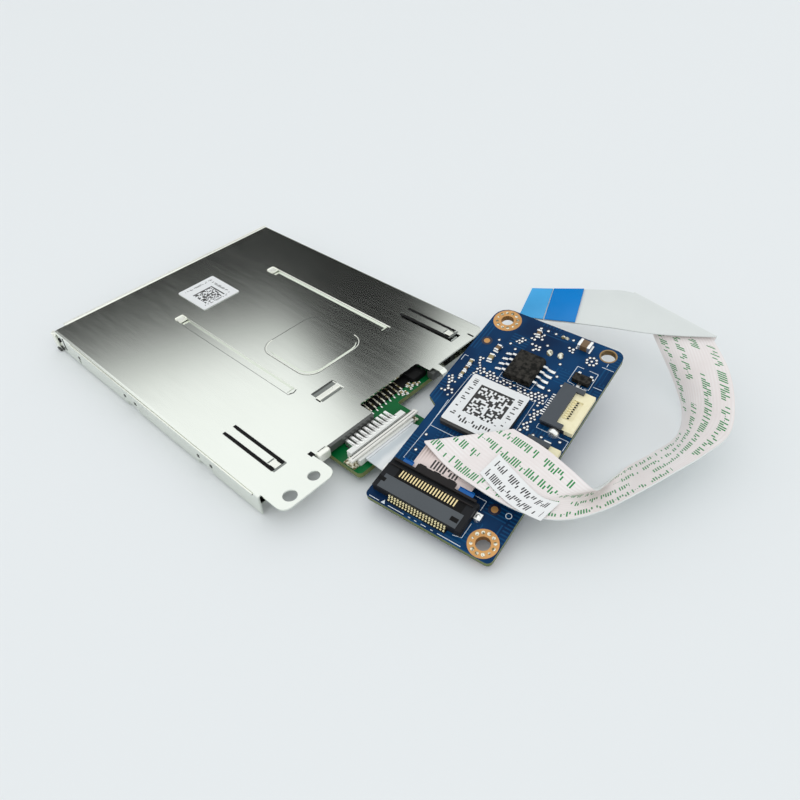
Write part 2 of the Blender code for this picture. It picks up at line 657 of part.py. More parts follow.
def make_chips(parent):
    half = CHIP_SIZE / 2
    u, v = CHIP_CENTRE
    chip = outline([(u - half, v - half, 0.3), (u + half, v - half, 0.3), (u + half, v + half, 0.3),
                    (u - half, v + half, 0.3)])
    piece("controller_chip", "chip_plastic", parent, [prism(chip, SOLDER_GAP, CHIP_TOP)])
    shift = 0.5
    level = CHIP_TOP + SOLDER_GAP
    piece("board_label", "label_paper", parent,
          [prism([(a, b + shift) for a, b in chip], level, level + LABEL_THICK)])


def gull_lead(low_u, high_u, foot, top, v_low, v_high):
    """A bent lead from a body's side at high_u down to a foot at low_u, either way round."""
    out = 1 if high_u > low_u else -1
    line = [(low_u, foot + 0.2), (low_u + 0.6 * out, foot + 0.2), (low_u + 0.9 * out, top),
            (high_u, top), (high_u, top - 0.2), (low_u + 1.1 * out, top - 0.2),
            (low_u + 0.75 * out, foot), (low_u, foot)]
    return prism(line, v_low, v_high, "y")


def make_memory_chip(parent):
    u, v = MEMORY_LOW
    bevel = 0.35
    middle = 0.7
    body_low = prism(outline([(u, v, 0.15), (u + MEMORY_WIDTH, v, 0.15),
                              (u + MEMORY_WIDTH, v + MEMORY_LENGTH, 0.15), (u, v + MEMORY_LENGTH, 0.15)]),
                     0.15, middle)
    ridge = [(u, middle - 0.1), (u + MEMORY_WIDTH, middle - 0.1), (u + MEMORY_WIDTH, middle),
             (u + MEMORY_WIDTH - bevel, MEMORY_TOP), (u + bevel, MEMORY_TOP), (u, middle)]
    solids = [body_low, prism(ridge, v + 0.1, v + MEMORY_LENGTH - 0.1, "y")]
    first = v + (MEMORY_LENGTH - 3 * MEMORY_LEAD_PITCH) / 2
    half = MEMORY_LEAD_WIDTH / 2
    for index in range(4):
        centre = first + index * MEMORY_LEAD_PITCH
        span = (SOLDER_GAP, middle - 0.05, centre - half, centre + half)
        solids.append(gull_lead(u - MEMORY_LEAD_REACH, u + 0.1, *span))
        far = u + MEMORY_WIDTH
        solids.append(gull_lead(far + MEMORY_LEAD_REACH, far - 0.1, *span))
    piece("memory_chip", "chip_plastic", parent, solids)


def make_small_parts(parent):
    low = SOLDER_GAP
    v = TRANSISTOR_V
    body = block(16.9, 19.9, v, v + 1.5, 0.12, 1.05)
    leads = [block(17.1, 17.6, v + 1.3, v + 2.4, low, 0.35), block(19.2, 19.7, v + 1.3, v + 2.4, low, 0.35),
             block(18.1, 18.7, v - 0.9, v + 0.2, low, 0.35)]
    piece("transistor", "chip_plastic", parent, [body] + leads)
    piece("large_capacitor", "capacitor_ceramic", parent,
          [block(14.1, 17.0, BOARD_LENGTH - 3.0, BOARD_LENGTH - 1.0, low, 1.3)])
    beside = MEMORY_LOW[1]
    places = ((7.6, BOARD_LENGTH - 2.9, 1.7, 0.9), (3.1, beside + 2.5, 1.0, 1.7),
              (2.9, beside + 5.3, 1.0, 1.7), (0.3, beside - 0.5, 1.0, 1.7))
    for number, (u, v, long_u, long_v) in enumerate(places, 1):
        piece(f"small_part_{number}", "capacitor_ceramic", parent,
              [block(u - long_u / 2, u + long_u / 2, v - long_v / 2, v + long_v / 2, low, 0.55)])


def make_host_socket(parent):
    """The twenty-way socket of the long cable, with its latch closed."""
    u_low, v_low = HOST_SOCKET_LOW
    u_high = u_low + HOST_SOCKET_WIDTH
    v_high = v_low + HOST_SOCKET_DEPTH
    top = HOST_SOCKET_TOP
    cable_low, cable_high = HOST_CABLE_LOW_U, HOST_CABLE_LOW_U + CABLE_WIDTH
    first = (cable_low + cable_high - HOST_PITCH * (HOST_WAYS - 1)) / 2
    last = first + HOST_PITCH * (HOST_WAYS - 1)
    latch_v = v_high - 0.4
    slot = block(cable_low - 0.7, cable_high + 0.7, v_low + 2.4, v_high + 1,
                 HOST_CABLE_N - 0.35, HOST_CABLE_N + 0.2)
    seat = block(u_low - 1, u_high + 1, latch_v - 0.6, v_high + 1, top - 0.25, top + 1)
    recess = block(first - 0.4, last + 0.4, v_low + 2.6, v_low + 4.5, top - 0.35, top + 1)
    piece("host_socket_housing", "black_plastic", parent,
          [block(u_low, u_high, v_low, v_high, SOLDER_GAP, top)], [slot, seat, recess])
    foot = top - 0.3
    solids = [block(first - 0.3, last + 0.3, v_low + 2.7, v_low + 2.95, foot, foot + 0.1)]
    tails = [block(first - 0.3, last + 0.3, v_low - 0.3, v_low - 0.1, SOLDER_GAP, SOLDER_GAP + 0.12)]
    half = HOST_CONTACT_WIDTH / 2
    for index in range(HOST_WAYS):
        u = first + HOST_PITCH * index
        solids.append(block(u - half, u + half, v_low + 2.8, v_low + 4.4, foot, foot + 0.22))
        tails.append(block(u - half, u + half, v_low - 1.0, v_low - 0.1, SOLDER_GAP, SOLDER_GAP + 0.25))
    piece("host_socket_contacts", "contact_gold", parent, solids)
    piece("host_socket_tails", "contact_gold", parent, tails)
    latch_low = top - 0.15
    latch_high = latch_low + HOST_LATCH_THICK
    bar = block(u_low + 0.4, u_high - 0.8, latch_v + 0.1, latch_v + HOST_LATCH_DEPTH, latch_low, latch_high)
    ridge = block(u_low + 4.0, u_low + 10.9, latch_v + 0.3, latch_v + HOST_LATCH_DEPTH - 0.2,
                  latch_low + 0.3, latch_high + 0.2)
    piece("host_socket_latch", "grey_plastic", parent, [bar, ridge],
          pivot=((u_low + u_high) / 2, latch_v + 0.15, latch_low + 0.05))
    for number, u in enumerate((u_low - 0.65, u_high + 0.1), 1):
        width = 0.55 if number == 1 else 1.1
        piece(f"host_socket_tab_{number}", "tin", parent,
              [block(u, u + width, v_low + 3.4, v_low + 4.6, SOLDER_GAP, 0.7)])


def make_small_socket(parent, number, v_low):
    """A small flat cable socket at the board's edge, empty, with its latch closed."""
    u_low = SMALL_SOCKET_U
    u_high = u_low + SMALL_SOCKET_DEPTH
    v_high = v_low + SMALL_SOCKET_LENGTH
    top = SMALL_SOCKET_TOP
    name = f"small_socket_{number}"
    middle = (v_low + v_high) / 2
    half = HOST_PITCH * (SMALL_WAYS - 1) / 2
    slot = block(u_low + 3.4, u_high + 1, middle - half - 0.9, middle + half + 0.9, 0.35, 0.6)
    recess = block(u_low + 2.7, u_low + 4.4, middle - half - 0.3, middle + half + 0.3, 0.7, top + 1)
    piece(f"{name}_housing", "cream_plastic", parent,
          [block(u_low, u_high, v_low, v_high, SOLDER_GAP, top)], [slot, recess])
    solids = [block(u_low + 2.8, u_low + 3.05, middle - half - 0.2, middle + half + 0.2, 0.75, 0.85)]
    for index in range(SMALL_WAYS):
        v = middle - half + HOST_PITCH * index
        solids.append(block(u_low + 2.9, u_low + 4.3, v - 0.11, v + 0.11, 0.75, 0.97))
    piece(f"{name}_contacts", "contact_gold", parent, solids)
    latch_low = top + SOLDER_GAP
    latch_end = u_low + SMALL_LATCH_DEPTH
    latch_high = latch_low + SMALL_LATCH_THICK
    plate = block(u_low - 0.1, latch_end, v_low - 0.2, v_high + 0.1, latch_low, latch_high)
    arms = [block(latch_end - 0.1, latch_end + 1.3, v_low - 0.2, v_low + 0.7, latch_low, latch_high),
            block(latch_end - 0.1, latch_end + 1.3, v_high - 0.8, v_high + 0.1, latch_low, latch_high)]
    piece(f"{name}_latch", "grey_plastic", parent, [plate] + arms,
          pivot=(latch_end + 1.25, middle, latch_low + 0.05))
    for tab, v in enumerate((v_low - 0.9, v_high + 0.1), 1):
        piece(f"{name}_tab_{tab}", "tin", parent,
              [block(u_low + 2.2, u_low + 3.4, v, v + 0.8, SOLDER_GAP, 0.5)])


def make_under_socket(parent):
    """The socket below the control board that takes the short cable."""
    u_low, v_low = UNDER_SOCKET_U, UNDER_SOCKET_V
    u_high, v_high = u_low + UNDER_SOCKET_DEPTH, v_low + UNDER_SOCKET_LENGTH
    top = -BOARD_THICK - SOLDER_GAP
    bottom = top - UNDER_SOCKET_HEIGHT
    slot = block(u_low - 1, u_low + 3.4, v_low + 0.65, v_high - 0.65, -1.9, -1.35)
    seat = block(u_low - 1, u_low + 1.7, v_low - 1, v_high + 1, bottom - 1, bottom + 0.4)
    piece("under_socket_housing", "white_plastic", parent,
          [block(u_low, u_high, v_low, v_high, bottom, top)], [slot, seat])
    piece("under_socket_latch", "pearl_plastic", parent,
          [block(u_low + 0.1, u_low + 1.2, v_low - 0.6, v_high + 0.6, bottom - 0.1, bottom + 0.3)],
          pivot=(u_low + 1.1, (v_low + v_high) / 2, bottom + 0.2))
    first = v_low + (UNDER_SOCKET_LENGTH - READER_PITCH * (READER_WAYS - 1)) / 2
    last = first + READER_PITCH * (READER_WAYS - 1)
    solids = [block(u_high + 0.1, u_high + 0.5, first - 0.4, last + 0.4, top - 0.15, top)]
    for index in range(READER_WAYS):
        v = first + READER_PITCH * index
        solids.append(block(u_high + 0.1, u_high + 1.4, v - 0.25, v + 0.25, top - 0.25, top))
    piece("under_socket_contacts", "tin", parent, solids)


def board_point(u, v, n):
    """A point of the control board's frame in the part's frame."""
    turn = Euler([math.radians(angle) for angle in BOARD_TURN]).to_matrix()
    return turn @ Vector((u, v, n)) + Vector(BOARD_ORIGIN)


def from_front(edge):
    """Points whose X counts from the reader's front end, in the part's frame."""
    return [(x + COVER_LENGTH / 2, y, z) for x, y, z in edge]


def smooth_rows(near, far, steps):
    """Rows across a cable through hand-chosen edge points, on a smooth curve along each edge."""
    rows = []
    count = len(near)
    for index in range(count - 1):
        for step in range(steps):
            pair = []
            for edge in (near, far):
                points = [Vector(edge[max(index - 1, 0)]), Vector(edge[index]), Vector(edge[index + 1]),
                          Vector(edge[min(index + 2, count - 1)])]
                pair.append(curve_point(points, step / steps))
            rows.append(pair)
    rows.append([Vector(near[-1]), Vector(far[-1])])
    return rows


def curve_point(points, t):
    """A point between the second and third of four points."""
    before, start, end, after = points
    return 0.5 * (2 * start + (end - before) * t + (2 * before - 5 * start + 4 * end - after) * t * t
                  + (3 * start - before - 3 * end + after) * t ** 3)


def fold_rows(row, come, rise):
    """Rows round a flat fold: the cable turns back over itself on the side of rise."""
    near, far = row
    along = (far - near).normalized()
    outward = (come - along * come.dot(along)).normalized()
    radius = rise.length / 2
    up = rise.normalized()
    rows = []
    for step in range(1, FOLD_STEPS):
        angle = math.pi * step / FOLD_STEPS
        shift = outward * radius * math.sin(angle) + up * radius * (1 - math.cos(angle))
        rows.append([near + shift, far + shift])
    return rows


def middle_rows():
    return smooth_rows(from_front(NEAR_EDGE), from_front(FAR_EDGE), CABLE_STEPS)


def back_rows():
    return smooth_rows(from_front(NEAR_EDGE_BACK), from_front(FAR_EDGE_BACK), CABLE_STEPS)


def host_cable_rows():
    """All rows of the long cable, from inside its socket to its free end."""
    low, high = HOST_CABLE_LOW_U, HOST_CABLE_LOW_U + CABLE_WIDTH
    n = HOST_CABLE_N
    start = [board_point(low, HOST_CABLE_START_V, n), board_point(high, HOST_CABLE_START_V, n)]
    exit_row = [board_point(low, 8.4, n), board_point(high, 8.4, n)]
    crease = [board_point(*CREASE_LOW), board_point(*CREASE_HIGH)]
    middle = middle_rows()
    back = back_rows()
    rows = [start, exit_row, crease]
    rows += fold_rows(crease, exit_to_crease(), middle[0][0] - crease[0])
    rows += middle
    come = middle[-1][0] - middle[-2][0]
    rows += fold_rows(middle[-1], come, back[0][0] - middle[-1][0])
    rows += back
    return rows


def exit_to_crease():
    return board_point(0, 1, 0) - board_point(0, 0, 0)


def row_point(rows, place, part):
    """A point at a place along rows, which may lie between two, and at a part of their width."""
    index = min(int(place), len(rows) - 2)
    here = rows[index][0].lerp(rows[index][1], part)
    there = rows[index + 1][0].lerp(rows[index + 1][1], part)
    return here.lerp(there, place - index)


def square_patch(rows, first, last, low, high, skew, steps=8, columns=4):
    """Points of a patch whose ends are square to a cable that its rows cross at a slant."""
    lines = []
    for step in range(steps + 1):
        place = first + (last - first) * step / steps
        lines.append([row_point(rows, place - skew * c / columns, low + (high - low) * c / columns)
                      for c in range(columns + 1)])
    return lines


def row_points(rows, low=0.0, high=1.0, columns=6):
    return [[near.lerp(far, low + (high - low) * c / columns) for c in range(columns + 1)] for near, far in rows]


def ribbon(lines, offset, thick):
    """A closed thin body on a grid of points, at an offset above them."""
    columns = len(lines[0]) - 1
    count = len(lines)
    normals = []
    for index, line in enumerate(lines):
        ahead = lines[min(index + 1, count - 1)]
        behind = lines[max(index - 1, 0)]
        normals.append([(line[-1] - line[0]).cross(ahead[c] - behind[c]).normalized()
                        for c in range(columns + 1)])
    verts = []
    for level in (offset - thick / 2, offset + thick / 2):
        for line, normal in zip(lines, normals):
            verts += [tuple(point - direction * level) for point, direction in zip(line, normal)]
    wide = columns + 1
    layer = count * wide
    faces = []
    for row in range(count - 1):
        for c in range(columns):
            a = row * wide + c
            quad = (a, a + 1, a + wide + 1, a + wide)
            faces.append(quad)
            faces.append(tuple(layer + index for index in reversed(quad)))
        for c in (0, columns):
            a = row * wide + c
            faces.append((a, a + wide, layer + a + wide, layer + a))
    for row in (0, count - 1):
        for c in range(columns):
            a = row * wide + c
            faces.append((a, layer + a, layer + a + 1, a + 1))
    return verts, faces


def make_host_cable():
    rows = host_cable_rows()
    piece("host_cable", "cable_film", None, [ribbon(row_points(rows), 0.0, CABLE_THICK)])
    shift = CABLE_THICK / 2 + FILM_GAP + FILM_THICK / 2
    wing = 0.6
    n = HOST_CABLE_N - shift
    plug = [[board_point(HOST_CABLE_LOW_U - wing, v, n), board_point(HOST_CABLE_LOW_U + CABLE_WIDTH + wing, v, n)]
            for v in (HOST_CABLE_START_V, 8.5)]
    piece("host_cable_plug_stiffener", "blue_film", None, [ribbon(row_points(plug), 0.0, FILM_THICK)])
    back = back_rows()
    for name, rows in (("host_cable_end_stiffener", back[-5:]), ("host_cable_pull_tab", back[-9:-5])):
        film = row_points(rows, -FILM_OVERHANG, 1 + FILM_OVERHANG)
        piece(name, "blue_film", None, [ribbon(film, -shift, FILM_THICK)])
    paper = square_patch(middle_rows(), *CABLE_LABEL_SPAN, *CABLE_LABEL_SIDES, CABLE_LABEL_SKEW)
    piece("host_cable_label", "label_paper", None, [ribbon(paper, shift + FILM_GAP, FILM_THICK)])


def reader_cable_rows():
    """The short cable: level out of the reader's socket, then twisted to the board's tilt."""
    x, y, _ = CAGE_CORNER
    low, high = y + READER_CABLE_LOW_Y, y + READER_CABLE_LOW_Y + READER_CABLE_WIDTH
    slot = x + READER_SOCKET_BACK + 0.9
    exit_x = x + READER_SOCKET_FRONT + 0.4
    v_low = UNDER_SOCKET_V + 0.8
    v_high = v_low + READER_CABLE_WIDTH
    n = -1.6
    near = [(slot, low, READER_CABLE_Z), (exit_x, low, READER_CABLE_Z),
            tuple(board_point(UNDER_SOCKET_U - 0.5, v_low, n)), tuple(board_point(UNDER_SOCKET_U + 3.2, v_low, n))]
    far = [(slot, high, READER_CABLE_Z), (exit_x, high, READER_CABLE_Z),
           tuple(board_point(UNDER_SOCKET_U - 0.5, v_high, n)), tuple(board_point(UNDER_SOCKET_U + 3.2, v_high, n))]
    straight = [[Vector(near[0]), Vector(far[0])]]
    bend = smooth_rows(near[1:3], far[1:3], 8)
    end = [[Vector(near[3]), Vector(far[3])]]
    return straight + bend + end


def make_reader_cable():
    rows = reader_cable_rows()
    piece("reader_cable", "cable_film", None, [ribbon(row_points(rows), 0.0, CABLE_THICK)])
    shift = CABLE_THICK / 2 + 0.03 + 0.05
    up = Vector((0, 0, shift))
    piece("reader_cable_stiffener_1", "blue_film", None,
          [ribbon(row_points([[near + up, far + up] for near, far in rows[:2]]), 0.0, 0.1)])
    tilt = board_point(0, 0, shift) - board_point(0, 0, 0)
    piece("reader_cable_stiffener_2", "blue_film", None,
          [ribbon(row_points([[near + tilt, far + tilt] for near, far in rows[-2:]]), 0.0, 0.1)])


def main():
    clear_scene()
    cage = frame_empty("cage_frame", CAGE_CORNER)
    board = frame_empty("board_frame", BOARD_ORIGIN, BOARD_TURN)
    make_cover(cage)
    make_base(cage)
    make_cage_label(cage)
    make_contact_block(cage)
    make_card_contacts(cage)
    make_contact_tails(cage)
    make_card_switch(cage)
    make_reader_board(cage)
    make_reader_socket(cage)
    make_control_board(board)
    make_chips(board)
    make_memory_chip(board)
    make_small_parts(board)
    make_host_socket(board)
    for number, v_low in enumerate(SMALL_SOCKET_V, 1):
        make_small_socket(board, number, v_low)
    make_under_socket(board)
    make_host_cable()
    make_reader_cable()


main()
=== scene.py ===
# Smart card reader with its control board and two flat cables, on a pale table.
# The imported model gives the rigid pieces. This script dresses them and adds the fine detail.
import json
import math
import random

import bpy
from mathutils import Euler, Matrix, Vector


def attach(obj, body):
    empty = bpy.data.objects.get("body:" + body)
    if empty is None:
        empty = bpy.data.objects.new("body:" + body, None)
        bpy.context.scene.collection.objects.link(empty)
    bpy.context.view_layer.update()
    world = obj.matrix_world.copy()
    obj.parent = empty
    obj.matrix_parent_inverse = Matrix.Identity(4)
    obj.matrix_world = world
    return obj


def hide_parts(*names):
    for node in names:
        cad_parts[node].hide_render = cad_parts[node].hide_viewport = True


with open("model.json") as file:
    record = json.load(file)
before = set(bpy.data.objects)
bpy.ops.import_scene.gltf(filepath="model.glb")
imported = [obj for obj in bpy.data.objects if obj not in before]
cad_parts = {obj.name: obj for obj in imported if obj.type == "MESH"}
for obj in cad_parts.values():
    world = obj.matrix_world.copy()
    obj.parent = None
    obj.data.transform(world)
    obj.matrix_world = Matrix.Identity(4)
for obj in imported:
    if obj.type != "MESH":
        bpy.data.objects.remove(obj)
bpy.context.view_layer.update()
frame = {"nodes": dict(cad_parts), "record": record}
bpy.context.scene.view_settings.view_transform = "Standard"
root = "reader"
mm = 0.001

boardPlace = {"origin": (45.25, -16.26, 3.34), "turn": (10.1, 3.5, 7.85)}  # millimetres and degrees
cagePlace = {"origin": (-34.0, -28.0, 0.0), "turn": (0.0, 0.0, 0.0)}


def placeMatrix(place):
    turn = Euler([math.radians(angle) for angle in place["turn"]]).to_matrix().to_4x4()
    return Matrix.Translation(Vector(place["origin"]) * mm) @ turn @ Matrix.Scale(mm, 4)


boardMatrix = placeMatrix(boardPlace)
cageMatrix = placeMatrix(cagePlace)


def boardPoint(u, v, n):
    return boardMatrix @ Vector((u, v, n))


# camera, at the photograph's place

cameraView = {"location": (0.10184, -0.06088, 0.08559), "turn": (48.375, 3.381, 43.474), "lens": 31.7}


def makeCamera():
    turn = [math.radians(angle) for angle in cameraView["turn"]]
    bpy.ops.object.camera_add(location=cameraView["location"], rotation=turn)
    camera = bpy.context.object
    camera.data.lens = cameraView["lens"]
    camera.data.sensor_width = 36
    camera.data.clip_start = 0.005
    bpy.context.scene.camera = camera


makeCamera()
print("camera set")


# node helpers

def node(tree, kind, inputs=None, **settings):
    made = tree.nodes.new(kind)
    for key, value in settings.items():
        setattr(made, key, value)
    for key, value in (inputs or {}).items():
        if isinstance(value, bpy.types.NodeSocket):
            tree.links.new(value, made.inputs[key])
        else:
            made.inputs[key].default_value = value
    return made


def calc(tree, operation, first, second=0.0, third=0.0):
    return node(tree, "ShaderNodeMath", {0: first, 1: second, 2: third}, operation=operation).outputs[0]


def mixColour(tree, factor, first, second):
    made = node(tree, "ShaderNodeMix", {0: factor, 6: first, 7: second}, data_type="RGBA")
    return made.outputs[2]


def mixValue(tree, factor, first, second):
    return node(tree, "ShaderNodeMix", {0: factor, 2: first, 3: second}).outputs[0]


def product(tree, *masks):
    total = masks[0]
    for mask in masks[1:]:
        total = calc(tree, "MULTIPLY", total, mask)
    return total


def between(tree, value, low, high):
    return product(tree, calc(tree, "GREATER_THAN", value, low), calc(tree, "LESS_THAN", value, high))


def newGroup(name, inputs, outputs):
    # inputs are (name, default), and a default of three numbers makes a vector
    group = bpy.data.node_groups.new(name, "ShaderNodeTree")
    for label, start in inputs:
        kind = "NodeSocketVector" if isinstance(start, tuple) and len(start) == 3 else "NodeSocketFloat"
        kind = "NodeSocketColor" if isinstance(start, tuple) and len(start) == 4 else kind
        socket = group.interface.new_socket(name=label, in_out="INPUT", socket_type=kind)
        socket.default_value = start
    for label, kind in outputs:
        group.interface.new_socket(name=label, in_out="OUTPUT", socket_type=kind)
    return group, node(group, "NodeGroupInput").outputs, node(group, "NodeGroupOutput").inputs


def makeGrain():
    # fine uneven surface: a value from 0 to 1 and a bumped normal
    group, given, out = newGroup("fineGrain", [("Vector", (0.0, 0.0, 0.0)), ("Scale", 1.0), ("Depth", 0.1)],
                                 [("Value", "NodeSocketFloat"), ("Normal", "NodeSocketVector")])
    noise = node(group, "ShaderNodeTexNoise",
                 {"Vector": given["Vector"], "Scale": given["Scale"], "Detail": 3.0})
    bump = node(group, "ShaderNodeBump", {"Strength": given["Depth"], "Distance": 0.0001,
                                          "Height": noise.outputs["Fac"]})
    group.links.new(noise.outputs["Fac"], out["Value"])
    group.links.new(bump.outputs["Normal"], out["Normal"])
    return group


dashLook = {"missing": 0.16, "cutShare": 0.3, "cut": 0.45, "width": 0.56}


def makeDashPrint():
    # rows of small strokes, as from a printer: a mask of 0 or 1
    group, given, out = newGroup(
        "dashPrint", [("Along", 0.0), ("Across", 0.0), ("Row pitch", 2.6), ("Height", 0.5), ("Stroke", 0.5),
                      ("Period", 50.0), ("Fill", 0.9), ("Stagger", 3.5)], [("Mask", "NodeSocketFloat")])
    rowPlace = calc(group, "DIVIDE", given["Across"], given["Row pitch"])
    row = calc(group, "FLOOR", rowPlace)
    height = calc(group, "DIVIDE", calc(group, "FRACT", rowPlace), given["Height"])
    along = calc(group, "MULTIPLY_ADD", row, given["Stagger"], given["Along"])
    word = calc(group, "LESS_THAN", calc(group, "FRACT", calc(group, "DIVIDE", along, given["Period"])),
                given["Fill"])
    strokePlace = calc(group, "DIVIDE", along, given["Stroke"])
    seed = node(group, "ShaderNodeCombineXYZ", {"X": calc(group, "FLOOR", strokePlace), "Y": row})
    chance = node(group, "ShaderNodeTexWhiteNoise", {"Vector": seed.outputs[0]})
    pick = node(group, "ShaderNodeSeparateColor", {"Color": chance.outputs["Color"]}).outputs
    shown = calc(group, "GREATER_THAN", pick[0], dashLook["missing"])
    low, cutAbove = [calc(group, "MULTIPLY", calc(group, "LESS_THAN", pick[index], dashLook["cutShare"]),
                          dashLook["cut"]) for index in (1, 2)]
    high = calc(group, "SUBTRACT", 1.0, cutAbove)
    thin = calc(group, "LESS_THAN", calc(group, "FRACT", strokePlace), dashLook["width"])
    mask = product(group, word, shown, thin, calc(group, "GREATER_THAN", height, low),
                   calc(group, "LESS_THAN", height, high))
    group.links.new(mask, out["Mask"])
    return group


def makeCellField():
    # a field of random square cells: a mask of 0 or 1
    group, given, out = newGroup("cellField", [("Vector", (0.0, 0.0, 0.0)), ("Cell", 0.4), ("Share", 0.5)],
                                 [("Mask", "NodeSocketFloat")])
    size = calc(group, "DIVIDE", 1.0, given["Cell"])
    scaled = node(group, "ShaderNodeVectorMath", {0: given["Vector"], "Scale": size}, operation="SCALE")
    cell = node(group, "ShaderNodeVectorMath", {0: scaled.outputs[0]}, operation="FLOOR")
    chance = node(group, "ShaderNodeTexWhiteNoise", {"Vector": cell.outputs[0]})
    group.links.new(calc(group, "LESS_THAN", chance.outputs["Value"], given["Share"]), out["Mask"])
    return group


grain = makeGrain()
dashPrint = makeDashPrint()
cellField = makeCellField()


def fillGroup(tree, group, inputs):
    return node(tree, "ShaderNodeGroup", inputs, node_tree=group).outputs


def newMaterial(name, colour, roughness, metallic=0.0, **sockets):
    material = bpy.data.materials.new(name)
    material.use_nodes = True
    shader = material.node_tree.nodes["Principled BSDF"]
    shader.inputs["Base Color"].default_value = (*colour, 1.0)
    shader.inputs["Roughness"].default_value = roughness
    shader.inputs["Metallic"].default_value = metallic
    for label, value in sockets.items():
        shader.inputs[label.replace("_", " ")].default_value = value
    return material, material.node_tree, shader


def inMillimetres(tree, place=None):
    # object coordinates in millimetres, in the frame of the cage or the board
    coords = node(tree, "ShaderNodeTexCoord").outputs["Object"]
    place = place or {"origin": (0, 0, 0), "turn": (0, 0, 0)}
    mapping = node(tree, "ShaderNodeMapping", {
        "Vector": coords, "Location": [value * mm for value in place["origin"]],
        "Rotation": [math.radians(angle) for angle in place["turn"]], "Scale": (mm, mm, mm)},
        vector_type="TEXTURE")
    return mapping.outputs[0]


def split(tree, vector):
    return node(tree, "ShaderNodeSeparateXYZ", {0: vector}).outputs


def speckled(name, colour, roughness, metallic=0.0, scale=2.0, depth=0.15, drift=0.12, **sockets):
    # a material whose colour and roughness wander a little, with a fine bump
    material, tree, shader = newMaterial(name, colour, roughness, metallic, **sockets)
    place = inMillimetres(tree)
    fine = fillGroup(tree, grain, {"Vector": place, "Scale": scale, "Depth": depth})
    broad = fillGroup(tree, grain, {"Vector": place, "Scale": scale * 0.11, "Depth": 0.0})
    dark = tuple(value * (1 - drift) for value in colour) + (1.0,)
    light = tuple(min(1.0, value * (1 + drift)) for value in colour) + (1.0,)
    tree.links.new(mixColour(tree, broad["Value"], dark, light), shader.inputs["Base Color"])
    gloss = mixValue(tree, fine["Value"], roughness - 0.08, roughness + 0.08)
    tree.links.new(gloss, shader.inputs["Roughness"])
    tree.links.new(fine["Normal"], shader.inputs["Normal"])
    return material


# selecting and placing by hand

def deselectAll():
    if bpy.context.object and bpy.context.object.mode != "OBJECT":
        bpy.ops.object.mode_set(mode="OBJECT")
    bpy.ops.object.select_all(action="DESELECT")


def selectOnly(*things):
    deselectAll()
    for thing in things:
        thing.select_set(True)
    bpy.context.view_layer.objects.active = things[0]


def bakePlace(thing):
    selectOnly(thing)
    bpy.ops.object.transform_apply(location=True, rotation=True, scale=True)


# floor and lamps

stageLook = {"floorSize": 6.0, "floorDrop": 0.00002, "floorColour": (0.79, 0.815, 0.825),
             "skyColour": (0.97, 0.99, 1.0), "skyStrength": 1.0, "metalSky": 1.12}
softbox = {"location": (0.42, -0.40, 0.80), "size": 1.1, "power": 0.62}
# the dark end of the room, which only shiny surfaces see: direction and height in degrees
darkEnd = {"middle": 162.0, "halfWidth": 38.0, "sideFade": 12.0, "height": 34.2, "fade": 3.4, "foot": 16.0,
           "footFade": 7.0, "peakMiddle": 138.6, "peakHalfWidth": 9.5, "peakHeight": 9.6, "level": 0.008}


def makeFloor():
    bpy.ops.mesh.primitive_plane_add(size=stageLook["floorSize"], location=(0, 0, -stageLook["floorDrop"]))
    floor = bpy.context.object
    floor.name = "floor"
    bakePlace(floor)
    pale = newMaterial("paleFloor", stageLook["floorColour"], 0.7, Specular_IOR_Level=0.2)[0]
    floor.data.materials.append(pale)


def smoothRange(tree, value, start, end):
    made = node(tree, "ShaderNodeMapRange", {0: value, 1: start, 2: end}, interpolation_type="SMOOTHSTEP")
    return made.outputs[0]


def makeSky():
    world = bpy.data.worlds.new("softSky")
    bpy.context.scene.world = world
    world.use_nodes = True
    tree = world.node_tree
    sky = tree.nodes["Background"]
    look = darkEnd
    turn = node(tree, "ShaderNodeMapping", {
        "Vector": node(tree, "ShaderNodeTexCoord").outputs["Generated"],
        "Rotation": (0, 0, -math.radians(look["middle"]))}, vector_type="POINT")
    way = split(tree, turn.outputs[0])
    height = calc(tree, "DEGREES", calc(tree, "ARCSINE", way["Z"]))
    side = calc(tree, "DEGREES", calc(tree, "ARCTAN2", way["Y"], way["X"]))
    within = smoothRange(tree, calc(tree, "ABSOLUTE", side), look["halfWidth"] + look["sideFade"],
                         look["halfWidth"])
    peakSide = calc(tree, "ABSOLUTE", calc(tree, "ADD", side, look["middle"] - look["peakMiddle"]))
    peak = smoothRange(tree, peakSide, look["peakHalfWidth"], 0.0)
    rise = calc(tree, "MULTIPLY_ADD", peak, -look["peakHeight"], height)
    below = smoothRange(tree, rise, look["height"] + look["fade"], look["height"] - look["fade"])
    above = smoothRange(tree, height, look["foot"] - look["footFade"], look["foot"] + look["footFade"])
    shiny = node(tree, "ShaderNodeLightPath").outputs["Is Glossy Ray"]
    seen = mixValue(tree, product(tree, within, below, above), stageLook["metalSky"], look["level"])
    sky.inputs["Color"].default_value = (*stageLook["skyColour"], 1.0)
    tree.links.new(mixValue(tree, shiny, stageLook["skyStrength"], seen), sky.inputs["Strength"])


def makeSoftbox():
    place = Vector(softbox["location"])
    bpy.ops.object.light_add(type="AREA", location=place)
    lamp = bpy.context.object
    lamp.rotation_euler = (-place).to_track_quat("-Z", "Y").to_euler()
    lamp.data.size = softbox["size"]
    lamp.data.energy = softbox["power"]
    lamp.visible_glossy = False


makeFloor()
makeSky()
makeSoftbox()
print("floor and lamps set")


# long flat cable: both edges in millimetres, X from the reader's front end

